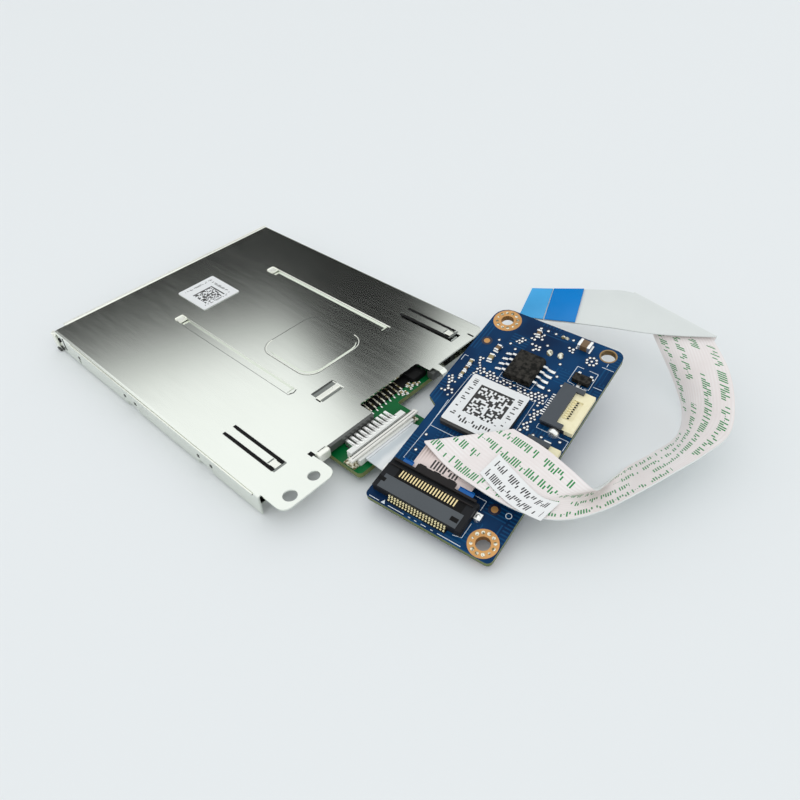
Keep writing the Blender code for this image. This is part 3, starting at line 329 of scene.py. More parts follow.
longCable = {
    "width": 10.5, "thick": 0.2, "lowU": 3.65, "startV": 4.2, "exitV": 8.4, "n": 0.95,
    "creaseLow": (3.67, 11.8, 1.1), "creaseHigh": (14.48, 20.5, 1.5), "foldSteps": 12, "steps": 6,
    "columns": 14, "frontX": 34.0,
    "carried": ("host_plug_wings", "cable_label_sheet", "cable_end_film", "cable_end_tab")}
nearEdge = [
    (13.5, -4.7, 7.1), (19.0, -5.6, 5.9), (24.0, -6.1, 6.2), (28.7, -6.1, 6.2), (33.1, -5.2, 5.9),
    (37.4, -2.6, 5.45), (40.8, 2.1, 5.7), (43.3, 8.1, 6.3), (45.4, 14.5, 6.7), (47.2, 20.9, 6.9),
    (48.1, 26.8, 7.3), (46.1, 32.1, 8.7), (42.6, 36.8, 10.5), (37.8, 40.9, 11.8)]
farEdge = [
    (23.2, 5.4, 8.5), (29.0, 4.9, 8.8), (34.4, 4.2, 8.2), (38.3, 4.4, 6.6), (38.4, 7.6, 4.8),
    (37.9, 11.6, 2.9), (37.7, 16.6, 1.0), (39.0, 22.3, 0.5), (40.1, 28.2, 0.6), (38.2, 33.3, 1.7),
    (34.5, 36.3, 4.4), (30.1, 38.7, 7.5), (25.4, 41.7, 9.9), (20.3, 45.5, 11.0)]
nearEdgeBack = [
    (37.8, 40.9, 12.6), (32.6, 39.7, 11.1), (27.0, 38.4, 9.9), (21.2, 36.8, 9.3), (15.5, 34.8, 8.8),
    (10.2, 32.9, 8.2), (5.4, 31.1, 7.9)]
farEdgeBack = [
    (20.3, 45.5, 11.8), (17.9, 45.6, 11.3), (15.3, 45.3, 10.5), (12.5, 44.7, 9.8), (9.4, 43.7, 9.1),
    (5.7, 42.4, 8.3), (1.5, 40.9, 7.5)]


def fromFront(edge):
    return [Vector((x + longCable["frontX"], y, z)) * mm for x, y, z in edge]


def curvePoint(before, start, end, after, t):
    return 0.5 * (2 * start + (end - before) * t + (2 * before - 5 * start + 4 * end - after) * t * t
                  + (3 * start - before - 3 * end + after) * t ** 3)


def smoothRows(near, far, steps):
    rows = []
    last = len(near) - 1
    for index in range(last):
        for step in range(steps):
            rows.append([curvePoint(edge[max(index - 1, 0)], edge[index], edge[index + 1],
                                    edge[min(index + 2, last)], step / steps) for edge in (near, far)])
    rows.append([near[-1], far[-1]])
    return rows


def foldRows(row, come, rise):
    near, far = row
    along = (far - near).normalized()
    outward = (come - along * come.dot(along)).normalized()
    radius = rise.length / 2
    rows = []
    for step in range(1, longCable["foldSteps"]):
        angle = math.pi * step / longCable["foldSteps"]
        shift = outward * radius * math.sin(angle) + rise.normalized() * radius * (1 - math.cos(angle))
        rows.append([near + shift, far + shift])
    return rows


def straightRows(first, last, steps):
    return [[first[side].lerp(last[side], step / steps) for side in (0, 1)] for step in range(steps)]


def longCableRows():
    shape = longCable
    low, high, n = shape["lowU"], shape["lowU"] + shape["width"], shape["n"]
    start = [boardPoint(low, shape["startV"], n), boardPoint(high, shape["startV"], n)]
    leave = [boardPoint(low, shape["exitV"], n), boardPoint(high, shape["exitV"], n)]
    crease = [boardPoint(*shape["creaseLow"]), boardPoint(*shape["creaseHigh"])]
    middle = smoothRows(fromFront(nearEdge), fromFront(farEdge), shape["steps"])
    back = smoothRows(fromFront(nearEdgeBack), fromFront(farEdgeBack), shape["steps"])
    ahead = boardPoint(0, 1, 0) - boardPoint(0, 0, 0)
    rows = [start] + straightRows(leave, crease, 6) + [crease]
    rows += foldRows(crease, ahead, middle[0][0] - crease[0])
    rows += middle
    rows += foldRows(middle[-1], middle[-1][0] - middle[-2][0], back[0][0] - middle[-1][0])
    return rows + back


def flatLengths(rows):
    # millimetres along each edge from the socket, as on the flat cable
    lengths = [[0.0, 0.0]]
    for row, ahead in zip(rows, rows[1:]):
        lengths.append([lengths[-1][side] + (ahead[side] - row[side]).length / mm for side in (0, 1)])
    return lengths


def makeRibbon(name, rows, lengths, width, columns, thick, materials, low=0.0, high=1.0, lift=0.0):
    # a film on rows of edge points, with its flat length and width as UV, given its thickness by Solidify
    mesh = bpy.data.meshes.new(name)
    verts = []
    flat = []
    for (near, far), (nearLength, farLength) in zip(rows, lengths):
        for column in range(columns + 1):
            part = low + (high - low) * column / columns
            verts.append(near.lerp(far, part))
            flat.append((nearLength + (farLength - nearLength) * part, part * width))
    wide = columns + 1
    faces = [(row * wide + column, row * wide + column + 1, (row + 1) * wide + column + 1,
              (row + 1) * wide + column) for row in range(len(rows) - 1) for column in range(columns)]
    mesh.from_pydata(verts, [], faces)
    layer = mesh.uv_layers.new(name="flat")
    for loop in mesh.loops:
        layer.data[loop.index].uv = flat[loop.vertex_index]
    ribbon = bpy.data.objects.new(name, mesh)
    bpy.context.scene.collection.objects.link(ribbon)
    for material in materials:
        mesh.materials.append(material)
    selectOnly(ribbon)
    if lift:
        displace = ribbon.modifiers.new("lift", "DISPLACE")
        displace.mid_level = 0.0
        displace.strength = lift * mm
        bpy.ops.object.modifier_apply(modifier="lift")
    solidify = ribbon.modifiers.new("film", "SOLIDIFY")
    solidify.thickness = thick * mm
    solidify.offset = 0.0
    solidify.material_offset = len(materials) - 1
    bpy.ops.object.modifier_apply(modifier="film")
    bpy.ops.object.shade_smooth_by_angle(angle=math.radians(35))
    return ribbon


filmLook = {"printed": (0.80, 0.735, 0.72), "stripe": (0.87, 0.84, 0.83), "back": (0.66, 0.69, 0.675),
            "backPink": (0.78, 0.66, 0.63), "ink": (0.012, 0.24, 0.06), "black": (0.02, 0.018, 0.018),
            "conductor": (0.30, 0.22, 0.19), "conductorPitch": 0.5, "foldSlant": -0.83,
            "pinkEnd": (9.6, 8.6), "linesGrow": (3.4, 7.0), "strokesAlong": (4.5, 6.1),
            "strokesAcross": (2.7, 7.9)}


def conductorLines(tree, across):
    stripe = calc(tree, "PINGPONG", across, filmLook["conductorPitch"] / 2)
    return calc(tree, "MULTIPLY", stripe, 2 / filmLook["conductorPitch"])


def makePrintedFilm():
    material, tree, shader = newMaterial("printedFilm", filmLook["printed"], 0.33)
    flat = split(tree, node(tree, "ShaderNodeUVMap", uv_map="flat").outputs[0])
    stripe = conductorLines(tree, flat["Y"])
    cloudy = fillGroup(tree, grain, {"Vector": inMillimetres(tree), "Scale": 0.16, "Depth": 0.0})["Value"]
    tint = product(tree, stripe, smoothRange(tree, cloudy, 0.25, 0.75))
    colour = mixColour(tree, tint, (*filmLook["printed"], 1), (*filmLook["stripe"], 1))
    ink = fillGroup(tree, dashPrint, {"Along": flat["X"], "Across": calc(tree, "ADD", flat["Y"], -0.6),
                                      "Row pitch": 2.6, "Height": 0.46, "Stroke": 0.44, "Period": 29.0,
                                      "Fill": 0.84, "Stagger": 7.4})
    colour = mixColour(tree, ink["Mask"], colour, (*filmLook["ink"], 1))
    tree.links.new(colour, shader.inputs["Base Color"])
    bump = node(tree, "ShaderNodeBump", {"Strength": 0.3, "Distance": 0.00005, "Height": stripe})
    tree.links.new(bump.outputs[0], shader.inputs["Normal"])
    return material


def makeFilmBack():
    material, tree, shader = newMaterial("filmBack", filmLook["back"], 0.3)
    flat = split(tree, node(tree, "ShaderNodeUVMap", uv_map="flat").outputs[0])
    place = inMillimetres(tree)
    cloudy = fillGroup(tree, grain, {"Vector": place, "Scale": 0.12, "Depth": 0.0})
    fine = fillGroup(tree, grain, {"Vector": place, "Scale": 1.2, "Depth": 0.1})
    light = tuple(value * 1.1 for value in filmLook["back"]) + (1,)
    colour = mixColour(tree, cloudy["Value"], (*filmLook["back"], 1), light)
    # near the socket the film is pinkish, with its conductors showing and a few black strokes
    beforeFold = calc(tree, "MULTIPLY_ADD", flat["Y"], filmLook["foldSlant"], flat["X"])
    first = smoothRange(tree, beforeFold, *filmLook["pinkEnd"])
    colour = mixColour(tree, first, colour, (*filmLook["backPink"], 1))
    lines = product(tree, first, conductorLines(tree, flat["Y"]),
                    smoothRange(tree, beforeFold, *filmLook["linesGrow"]), 0.85)
    colour = mixColour(tree, lines, colour, (*filmLook["conductor"], 1))
    strokes = product(tree, between(tree, flat["X"], *filmLook["strokesAlong"]),
                      between(tree, flat["Y"], *filmLook["strokesAcross"]), first)
    start = filmLook["strokesAlong"][0]
    ink = fillGroup(tree, dashPrint, {"Along": flat["Y"], "Across": calc(tree, "SUBTRACT", flat["X"], start),
                                      "Row pitch": 1.8, "Height": 0.9, "Stroke": 0.55, "Period": 50.0,
                                      "Fill": 1.0, "Stagger": 0.0})
    colour = mixColour(tree, product(tree, strokes, ink["Mask"]), colour, (*filmLook["black"], 1))
    tree.links.new(colour, shader.inputs["Base Color"])
    tree.links.new(fine["Normal"], shader.inputs["Normal"])
    return material


printedFilm = makePrintedFilm()
filmBack = makeFilmBack()


def makeLongCable():
    rows = longCableRows()
    lengths = flatLengths(rows)
    cable = makeRibbon("host_ribbon", rows, lengths, longCable["width"], longCable["columns"],
                       longCable["thick"], [filmBack, printedFilm])
    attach(cable, root)
    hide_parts("host_cable")
    print("long cable made")
    return cable, rows, lengths


def declareLongCable():
    carried = [bpy.data.objects[name] for name in longCable["carried"]]
    carried.append(frame["nodes"]["host_cable_plug_stiffener"])


hostRibbon, longRows, longLengths = makeLongCable()


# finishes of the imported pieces

steelLook = {"light": (0.855, 0.88, 0.82), "dark": (0.775, 0.81, 0.74), "roughLow": 0.12, "roughHigh": 0.17,
             "bump": 0.001}


def makeCageSteel():
    material, tree, shader = newMaterial("cageSteel", steelLook["light"], steelLook["roughLow"], 1.0)
    place = inMillimetres(tree)
    rolled = node(tree, "ShaderNodeMapping", {"Vector": place, "Scale": (0.10, 1.3, 1.0)}).outputs[0]
    streaks = fillGroup(tree, grain, {"Vector": rolled, "Scale": 1.4, "Depth": steelLook["bump"]})
    broad = fillGroup(tree, grain, {"Vector": place, "Scale": 0.05, "Depth": 0.0})
    colour = mixColour(tree, broad["Value"], (*steelLook["dark"], 1), (*steelLook["light"], 1))
    tree.links.new(colour, shader.inputs["Base Color"])
    tree.links.new(mixValue(tree, streaks["Value"], steelLook["roughLow"], steelLook["roughHigh"]),
                   shader.inputs["Roughness"])
    tree.links.new(streaks["Normal"], shader.inputs["Normal"])
    return material


boardLook = {"deep": (0.003, 0.019, 0.062), "pour": (0.004, 0.046, 0.135), "trace": (0.008, 0.08, 0.20),
             "edge": (0.13, 0.16, 0.06), "edgeHeights": (-0.93, -0.06), "tracePitch": 0.62,
             "traceShare": 0.38, "traceStrength": 0.55, "patch": 3.4, "patchShare": 0.42}
greenLook = {"deep": (0.001, 0.075, 0.018), "pour": (0.002, 0.16, 0.04), "edge": (0.17, 0.2, 0.07),
             "edgeHeights": (1.42, 2.36)}


def makeTraces():
    # runs of narrow copper lines under the lacquer, in patches that turn by a quarter: a mask of 0 or 1
    group, given, out = newGroup(
        "copperTraces", [("Vector", (0.0, 0.0, 0.0)), ("Pitch", 0.6), ("Patch", 3.0)],
        [("Mask", "NodeSocketFloat")])
    place, patch = given["Vector"], given["Patch"]
    parts = split(group, place)
    shown = fillGroup(group, cellField, {"Vector": place, "Cell": patch, "Share": boardLook["patchShare"]})
    moved = node(group, "ShaderNodeVectorMath", {0: place, 1: (47.0, 31.0, 0.0)}, operation="ADD")
    turned = fillGroup(group, cellField, {"Vector": moved.outputs[0], "Cell": patch, "Share": 0.5})
    along = mixValue(group, turned["Mask"], parts["X"], parts["Y"])
    step = calc(group, "FRACT", calc(group, "DIVIDE", along, given["Pitch"]))
    line = calc(group, "LESS_THAN", step, boardLook["traceShare"])
    group.links.new(product(group, line, shown["Mask"]), out["Mask"])
    return group


copperTraces = makeTraces()


def makeBoardBlue():
    material, tree, shader = newMaterial("boardBlue", boardLook["pour"], 0.24, Specular_IOR_Level=0.07)
    place = inMillimetres(tree, boardPlace)
    level = node(tree, "ShaderNodeVectorMath", {0: place, 1: (1.0, 1.0, 0.0)}, operation="MULTIPLY")
    fine = fillGroup(tree, grain, {"Vector": place, "Scale": 1.6, "Depth": 0.04})
    pour = fillGroup(tree, grain, {"Vector": place, "Scale": 0.09, "Depth": 0.0})
    colour = mixColour(tree, smoothRange(tree, pour["Value"], 0.35, 0.65), (*boardLook["deep"], 1),
                       (*boardLook["pour"], 1))
    traces = fillGroup(tree, copperTraces, {"Vector": level.outputs[0], "Pitch": boardLook["tracePitch"],
                                            "Patch": boardLook["patch"]})
    colour = mixColour(tree, product(tree, traces["Mask"], boardLook["traceStrength"]), colour,
                       (*boardLook["trace"], 1))
    side = between(tree, split(tree, place)["Z"], *boardLook["edgeHeights"])
    colour = mixColour(tree, side, colour, (*boardLook["edge"], 1))
    tree.links.new(colour, shader.inputs["Base Color"])
    tree.links.new(fine["Normal"], shader.inputs["Normal"])
    return material


def makeBoardGreen():
    material, tree, shader = newMaterial("boardGreen", greenLook["pour"], 0.28, Specular_IOR_Level=0.18)
    place = inMillimetres(tree, cagePlace)
    pour = fillGroup(tree, grain, {"Vector": place, "Scale": 0.3, "Depth": 0.03})
    colour = mixColour(tree, pour["Value"], (*greenLook["deep"], 1), (*greenLook["pour"], 1))
    side = between(tree, split(tree, place)["Z"], *greenLook["edgeHeights"])
    colour = mixColour(tree, side, colour, (*greenLook["edge"], 1))
    tree.links.new(colour, shader.inputs["Base Color"])
    tree.links.new(pour["Normal"], shader.inputs["Normal"])
    return material


packageLook = {"light": (0.036, 0.033, 0.028), "dark": (0.004, 0.004, 0.003), "lead": (0.76, 0.76, 0.74),
               "memory": ((6.45, 30.6), (11.65, 36.9)), "transistor": ((16.8, 35.38), (20.0, 36.92))}


def makePackage(name, place, low, high):
    # a chip's black body between two corners, with tinned leads outside it
    material, tree, shader = newMaterial(name, packageLook["light"], 0.5, Specular_IOR_Level=0.12)
    where = inMillimetres(tree, place)
    parts = split(tree, where)
    fine = fillGroup(tree, grain, {"Vector": where, "Scale": 1.7, "Depth": 0.3})
    body = product(tree, between(tree, parts["X"], low[0], high[0]),
                   between(tree, parts["Y"], low[1], high[1]))
    colour = mixColour(tree, smoothRange(tree, fine["Value"], 0.35, 0.65), (*packageLook["dark"], 1),
                       (*packageLook["light"], 1))
    tree.links.new(mixColour(tree, body, (*packageLook["lead"], 1), colour), shader.inputs["Base Color"])
    tree.links.new(calc(tree, "SUBTRACT", 1.0, body), shader.inputs["Metallic"])
    tree.links.new(mixValue(tree, body, 0.28, 0.5), shader.inputs["Roughness"])
    tree.links.new(fine["Normal"], shader.inputs["Normal"])
    return material


# the grey band is painted shade where the short cable bends near the socket
shortFilmLook = {"white": (0.81, 0.83, 0.84), "grey": (0.56, 0.61, 0.64), "starts": (74.6, 75.5),
                 "ends": (77.3, 76.1), "waver": 1.2}


def makeShortFilm():
    # white film of the short cable, with a soft grey-blue band of painted shade across it near the socket
    material, tree, shader = newMaterial("shortFilm", shortFilmLook["white"], 0.24)
    place = inMillimetres(tree, cagePlace)
    soft = fillGroup(tree, grain, {"Vector": place, "Scale": 0.3, "Depth": 0.03})
    along = calc(tree, "MULTIPLY_ADD", soft["Value"], shortFilmLook["waver"], split(tree, place)["X"])
    band = product(tree, smoothRange(tree, along, *shortFilmLook["starts"]),
                   smoothRange(tree, along, *shortFilmLook["ends"]))
    colour = mixColour(tree, band, (*shortFilmLook["white"], 1), (*shortFilmLook["grey"], 1))
    tree.links.new(colour, shader.inputs["Base Color"])
    tree.links.new(soft["Normal"], shader.inputs["Normal"])
    return material


def makeMottledSolder():
    # old solder with flux: bright metal broken by dark olive spots
    material, tree, shader = newMaterial("mottledSolder", (0.5, 0.45, 0.25), 0.35, 0.25)
    fine = fillGroup(tree, grain, {"Vector": inMillimetres(tree), "Scale": 1.9, "Depth": 0.6})
    tone = smoothRange(tree, fine["Value"], 0.42, 0.6)
    colour = mixColour(tree, tone, (0.16, 0.13, 0.05, 1), (0.90, 0.88, 0.74, 1))
    tree.links.new(colour, shader.inputs["Base Color"])
    tree.links.new(fine["Normal"], shader.inputs["Normal"])
    return material


twoToneLook = {"cream": ((0.80, 0.72, 0.44), (0.93, 0.87, 0.62)), "dark": (0.022, 0.024, 0.027),
               "insides": ((25.5, 33.3), (13.5, 21.3)), "wallEnd": (20.75, 20.65), "wallTop": (0.98, 0.94),
               "backEnd": (18.6, 18.5)}


def makeTwoTone():
    # small socket: cream where the cable would go in, nearly black at the back and down the walls
    material, tree, shader = newMaterial("twoTone", twoToneLook["cream"][0], 0.42)
    place = inMillimetres(tree, boardPlace)
    parts = split(tree, place)
    fine = fillGroup(tree, grain, {"Vector": place, "Scale": 1.6, "Depth": 0.15})
    inner = calc(tree, "MAXIMUM", *[between(tree, parts["Y"], *ends) for ends in twoToneLook["insides"]])
    wall = product(tree, smoothRange(tree, parts["X"], *twoToneLook["wallEnd"]),
                   smoothRange(tree, parts["Z"], *twoToneLook["wallTop"]),
                   calc(tree, "SUBTRACT", 1.0, inner))
    dark = calc(tree, "MAXIMUM", wall, smoothRange(tree, parts["X"], *twoToneLook["backEnd"]))
    cream = mixColour(tree, fine["Value"], *[(*tone, 1) for tone in twoToneLook["cream"]])
    tree.links.new(mixColour(tree, dark, cream, (*twoToneLook["dark"], 1)), shader.inputs["Base Color"])
    tree.links.new(fine["Normal"], shader.inputs["Normal"])
    return material


mottledSolder = makeMottledSolder()
labelLook = {
    "paper": (0.83, 0.845, 0.855), "ink": (0.016, 0.015, 0.015),
    "cageCode": (12.0, 26.0, 4.9, 0.31), "boardCode": (4.9, 20.5, 6.3, 0.35),
    "cageRows": [(9.6, 25.6, 32.4, False, 0.55, 0.34), (31.7, 10.6, 17.4, True, 0.6, 0.34),
                 (17.2, 25.4, 31.4, False, 0.5, 0.34)],
    "boardRows": [(3.3, 19.0, 27.4, False, 0.85, 0.42), (18.5, 5.0, 11.3, True, 1.15, 0.5),
                  (11.75, 18.8, 27.2, False, 0.85, 0.42)]}


def makeLabelPaper(name, place, code, rows):
    # white paper with a field of square cells (low u, low v, size, cell) and rows of strokes
    # each row is its place across, its ends along, whether it runs along u, its height and its stroke
    material, tree, shader = newMaterial(name, labelLook["paper"], 0.5)
    where = inMillimetres(tree, place)
    x, y = split(tree, where)["X"], split(tree, where)["Y"]
    fine = fillGroup(tree, grain, {"Vector": where, "Scale": 4.0, "Depth": 0.12})
    level = node(tree, "ShaderNodeCombineXYZ", {"X": x, "Y": y}).outputs[0]
    lowU, lowV, size, cell = code
    cells = fillGroup(tree, cellField, {"Vector": level, "Cell": cell, "Share": 0.5})["Mask"]
    inside = product(tree, between(tree, x, lowU, lowU + size), between(tree, y, lowV, lowV + size))
    border = calc(tree, "MAXIMUM", between(tree, x, lowU, lowU + cell),
                  between(tree, y, lowV + size - cell, lowV + size))
    marks = product(tree, inside, calc(tree, "MAXIMUM", cells, border))
    for across, low, high, alongU, height, stroke in rows:
        along, over = (x, y) if alongU else (y, x)
        ink = fillGroup(tree, dashPrint, {"Along": along, "Across": calc(tree, "SUBTRACT", over, across),
                                          "Row pitch": height * 1.5, "Height": 0.66, "Stroke": stroke,
                                          "Period": 60.0, "Fill": 1.0, "Stagger": 0.0})
        band = product(tree, between(tree, over, across, across + height), between(tree, along, low, high))
        marks = calc(tree, "MAXIMUM", marks, product(tree, band, ink["Mask"]))
    paper = mixColour(tree, fine["Value"], (0.71, 0.73, 0.735, 1), (0.79, 0.80, 0.805, 1))
    tree.links.new(mixColour(tree, marks, paper, (*labelLook["ink"], 1)), shader.inputs["Base Color"])
    tree.links.new(fine["Normal"], shader.inputs["Normal"])
    return material


slotLooks = {
    "cage_steel": makeCageSteel(),
    "label_paper": speckled("labelPaper", (0.84, 0.85, 0.86), 0.55, drift=0.03),
    "black_plastic": speckled("blackPlastic", (0.014, 0.015, 0.017), 0.45, Specular_IOR_Level=0.12),
    "contact_gold": speckled("contactGold", (0.90, 0.74, 0.40), 0.3, 0.7),
    "switch_spring": speckled("switchSpring", (0.70, 0.66, 0.55), 0.3, 1.0),
    "reader_board_green": makeBoardGreen(),
    "tin": speckled("tin", (0.82, 0.82, 0.79), 0.32, 1.0),
    "white_plastic": speckled("whitePlastic", (0.78, 0.79, 0.76), 0.42, drift=0.04),
    "pearl_plastic": speckled("pearlPlastic", (0.80, 0.79, 0.74), 0.3, drift=0.05),
    "cream_plastic": speckled("creamPlastic", (0.72, 0.66, 0.47), 0.42, drift=0.05),
    "grey_plastic": speckled("greyPlastic", (0.07, 0.08, 0.092), 0.42, Specular_IOR_Level=0.2),
    "cable_film": filmBack,
    "blue_film": speckled("blueFilm", (0.012, 0.27, 0.72), 0.28, scale=0.8, drift=0.1),
    "blue_board": makeBoardBlue(),
    "chip_plastic": speckled("chipPlastic", (0.04, 0.038, 0.036), 0.5, scale=3.0),
    "capacitor_ceramic": speckled("capacitorCeramic", (0.36, 0.24, 0.14), 0.4),
}


def dressPackedNodes():
    slots = {entry["node"]: entry["material_slot"] for entry in frame["record"]["subparts"]}
    for name, thing in frame["nodes"].items():
        thing.data.materials.clear()
        thing.data.materials.append(slotLooks[slots[name]])


def dress(name, material):
    thing = frame["nodes"][name]
    thing.data.materials.clear()
    thing.data.materials.append(material)


dressPackedNodes()
dress("memory_chip", makePackage("memoryPackage", boardPlace, *packageLook["memory"]))
dress("transistor", makePackage("transistorPackage", boardPlace, *packageLook["transistor"]))
dress("cage_label", makeLabelPaper("cageLabelPaper", cagePlace, labelLook["cageCode"],
                                   labelLook["cageRows"]))
dress("board_label", makeLabelPaper("boardLabelPaper", boardPlace, labelLook["boardCode"],
                                    labelLook["boardRows"]))
latchPlastic = speckled("latchPlastic", (0.018, 0.016, 0.016), 0.42, depth=0.3, drift=0.3,
                        Specular_IOR_Level=0.14)
dress("host_socket_latch", latchPlastic)
twoTone, shortFilm = makeTwoTone(), makeShortFilm()
for name, look in (("small_socket_1_housing", twoTone), ("small_socket_2_housing", twoTone),
                   ("reader_cable", shortFilm), ("reader_cable_stiffener_1", shortFilm),
                   ("reader_cable_stiffener_2", shortFilm), ("reader_socket_tab_1", mottledSolder),
                   ("reader_socket_tab_2", mottledSolder)):
    dress(name, look)
print("packed pieces dressed")


# modelling by hand, in millimetres, before a piece is placed on the board or the cage

bpy.context.tool_settings.mesh_select_mode = (False, False, True)


def editFaces(thing, test=lambda centre, normal: True):
    # into edit mode with the faces selected that pass the test
    selectOnly(thing)
    bpy.ops.object.mode_set(mode="EDIT")
    bpy.ops.mesh.select_all(action="DESELECT")
    bpy.ops.object.mode_set(mode="OBJECT")
    for face in thing.data.polygons:
        face.select = test(face.center, face.normal)
    bpy.ops.object.mode_set(mode="EDIT")


def leaveEdit():
    bpy.ops.object.mode_set(mode="OBJECT")


def deleteFaces(thing, test):
    editFaces(thing, test)
    bpy.ops.mesh.delete(type="FACE")
    leaveEdit()


def leanFaces(thing, way, move=None, grow=None):
    # the faces that look the given way are moved or resized
    editFaces(thing, lambda centre, normal: normal.dot(Vector(way)) > 0.9)
    if move:
        bpy.ops.transform.translate(value=move)
    if grow:
        bpy.ops.transform.resize(value=grow)
    leaveEdit()


def addBlock(low, high, softness=0.0, segments=2):
    deselectAll()
    bpy.ops.mesh.primitive_cube_add(size=1.0, location=[(a + b) / 2 for a, b in zip(low, high)])
    block = bpy.context.object
    block.scale = [b - a for a, b in zip(low, high)]
    bakePlace(block)
    if softness:
        editFaces(block)
        bpy.ops.mesh.bevel(offset=softness, segments=segments, affect="EDGES")
        leaveEdit()
    return block


def addDisc(radius, low, high, sides=32, centre=(0.0, 0.0)):
    deselectAll()
    bpy.ops.mesh.primitive_cylinder_add(radius=radius, depth=high - low, vertices=sides,
                                        end_fill_type="NGON", location=(*centre, (low + high) / 2))
    disc = bpy.context.object
    bakePlace(disc)
    return disc


def insetTop(thing, amount, rise=0.0, scale=1.0):
    # the top face is drawn in, and raised or sunk
    top = max(corner.co.z for corner in thing.data.vertices)
    editFaces(thing, lambda centre, normal: normal.z > 0.9 and centre.z > top - 1e-4)
    bpy.ops.mesh.inset(thickness=amount, depth=0.0)
    bpy.ops.mesh.extrude_region_move(TRANSFORM_OT_translate={"value": (0, 0, rise)})
    if scale != 1.0:
        bpy.ops.transform.resize(value=(scale, scale, 1.0))
    leaveEdit()


def paint(thing, materials, chooser=None):
    thing.data.materials.clear()
    for material in materials:
        thing.data.materials.append(material)
    for face in thing.data.polygons:
        face.material_index = chooser(face.center, face.normal) if chooser else 0


def addSlab(low, high, finish, softness=0.03, segments=2):
    slab = addBlock(low, high, softness, segments)
    paint(slab, [finish])
    return slab


def addHalfBall(size, segments, finish):
    deselectAll()
    bpy.ops.mesh.primitive_uv_sphere_add(segments=segments, ring_count=10, radius=1.0)
    ball = bpy.context.object
    ball.scale = size
    bakePlace(ball)
    editFaces(ball)
    bpy.ops.mesh.bisect(plane_co=(0, 0, 0), plane_no=(0, 0, 1), use_fill=True, clear_inner=True)
    leaveEdit()
    paint(ball, [finish])
    return ball


def addLines(lines, thick, height, finish, roundness=1):
    # wires through points on one level, where each line is its points and whether it is closed
    drawing = bpy.data.curves.new("line", "CURVE")
    drawing.dimensions = "3D"
    drawing.bevel_depth = thick
    drawing.bevel_resolution = roundness
    for points, closed in lines:
        spline = drawing.splines.new("POLY")
        spline.points.add(len(points) - 1)
        spline.use_cyclic_u = closed
        for point, (x, y) in zip(spline.points, points):
            point.co = (x, y, height, 1.0)
    wire = bpy.data.objects.new("line", drawing)
    bpy.context.scene.collection.objects.link(wire)
    selectOnly(wire)
    bpy.ops.object.convert(target="MESH")
    wire = bpy.context.object
    paint(wire, [finish])
    return wire


def copyOf(model):
    twin = model.copy()
    twin.data = model.data.copy()
    bpy.context.scene.collection.objects.link(twin)
    return twin


def joined(things):
    selectOnly(*things)
    if len(things) > 1:
        bpy.ops.object.join()
    return bpy.context.object


def moveTo(thing, place):
    thing.matrix_world = place
    bakePlace(thing)


def spot(u, v, n=0.0, turn=0.0, size=1.0):
    spin = Matrix.Rotation(math.radians(turn), 4, "Z")
    return Matrix.Translation((u, v, n)) @ spin @ Matrix.Scale(size, 4)


def circlePoints(u, v, radius, count):
    turns = [math.tau * turn / count for turn in range(count)]
    return [(u + radius * math.cos(angle), v + radius * math.sin(angle)) for angle in turns]


def scatter(model, spots):
    copies = []
    for place in spots:
        twin = copyOf(model)
        moveTo(twin, place)
        copies.append(twin)
    bpy.data.objects.remove(model)
    return joined(copies)


def finishPiece(thing, name, place, body=root, replaced=(), smooth=35):
    bakePlace(thing)
    moveTo(thing, place)
    thing.name = name
    thing.data.name = name
    bpy.ops.object.shade_smooth_by_angle(angle=math.radians(smooth))
    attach(thing, body)
    if replaced:
        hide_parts(*replaced)


tinBright = speckled("tinBright", (0.90, 0.90, 0.87), 0.22, 0.85, scale=3.0)
copperRing = speckled("copperRing", (0.58, 0.30, 0.10), 0.34, 0.5, scale=1.2, depth=0.5, drift=0.4)
maskEdge = speckled("maskEdge", (0.004, 0.008, 0.03), 0.4)
# dark grey steel as painted shade: the lip's face and the bracket under the cover
greyShadeSteel = speckled("greyShadeSteel", (0.10, 0.105, 0.10), 0.35, 0.4, scale=1.4, drift=0.5)
holeWall = speckled("holeWall", (0.30, 0.19, 0.07), 0.4, 0.3, drift=0.4)
# steel darkened as painted shade, in slits, behind the leaves' tips and in the strap's window
paintedShadeSteel = speckled("paintedShadeSteel", (0.20, 0.215, 0.20), 0.3, 0.3, scale=0.8, drift=0.3)
silkInk = speckled("silkInk", (0.74, 0.80, 0.85), 0.6, drift=0.04)
partBrown = speckled("partBrown", (0.16, 0.095, 0.04), 0.38, scale=3.0, drift=0.25)
partOlive = speckled("partOlive", (0.30, 0.24, 0.11), 0.38, scale=3.0, drift=0.25)
# pale steel, half metal, as painted highlights on the cover's edges, beads, tips and bars
paintedHighlightSteel = speckled("paintedHighlightSteel", (0.93, 0.94, 0.86), 0.3, 0.45, drift=0.05)
# near-black steel as painted shadow lines, and painted shade in seams, nicks, slits and under the tails
paintedShadowSteel = speckled("paintedShadowSteel", (0.09, 0.095, 0.09), 0.35, 0.8)
# black for the card contacts' block, and painted shade in holes, slots, pits, recesses and under the socket's
# feet
deepBlack = speckled("deepBlack", (0.008, 0.008, 0.008), 0.6, Specular_IOR_Level=0.1)
# gold made pale and nearly flat, as painted highlights on the socket feet and springs
paintedHighlightGold = speckled("paintedHighlightGold", (0.97, 0.84, 0.50), 0.3, 0.2, scale=1.5, drift=0.1)
# blue film of the plug's wings painted darker, as painted shade
wingBlueInShade = speckled("wingBlueInShade", (0.004, 0.12, 0.42), 0.3, drift=0.1, Specular_IOR_Level=0.3)
plateauGrey = speckled("plateauGrey", (0.068, 0.078, 0.087), 0.36, scale=1.5, Specular_IOR_Level=0.35)


# vias on the control board: fields of them, with a box kept clear, a wreath and single ones

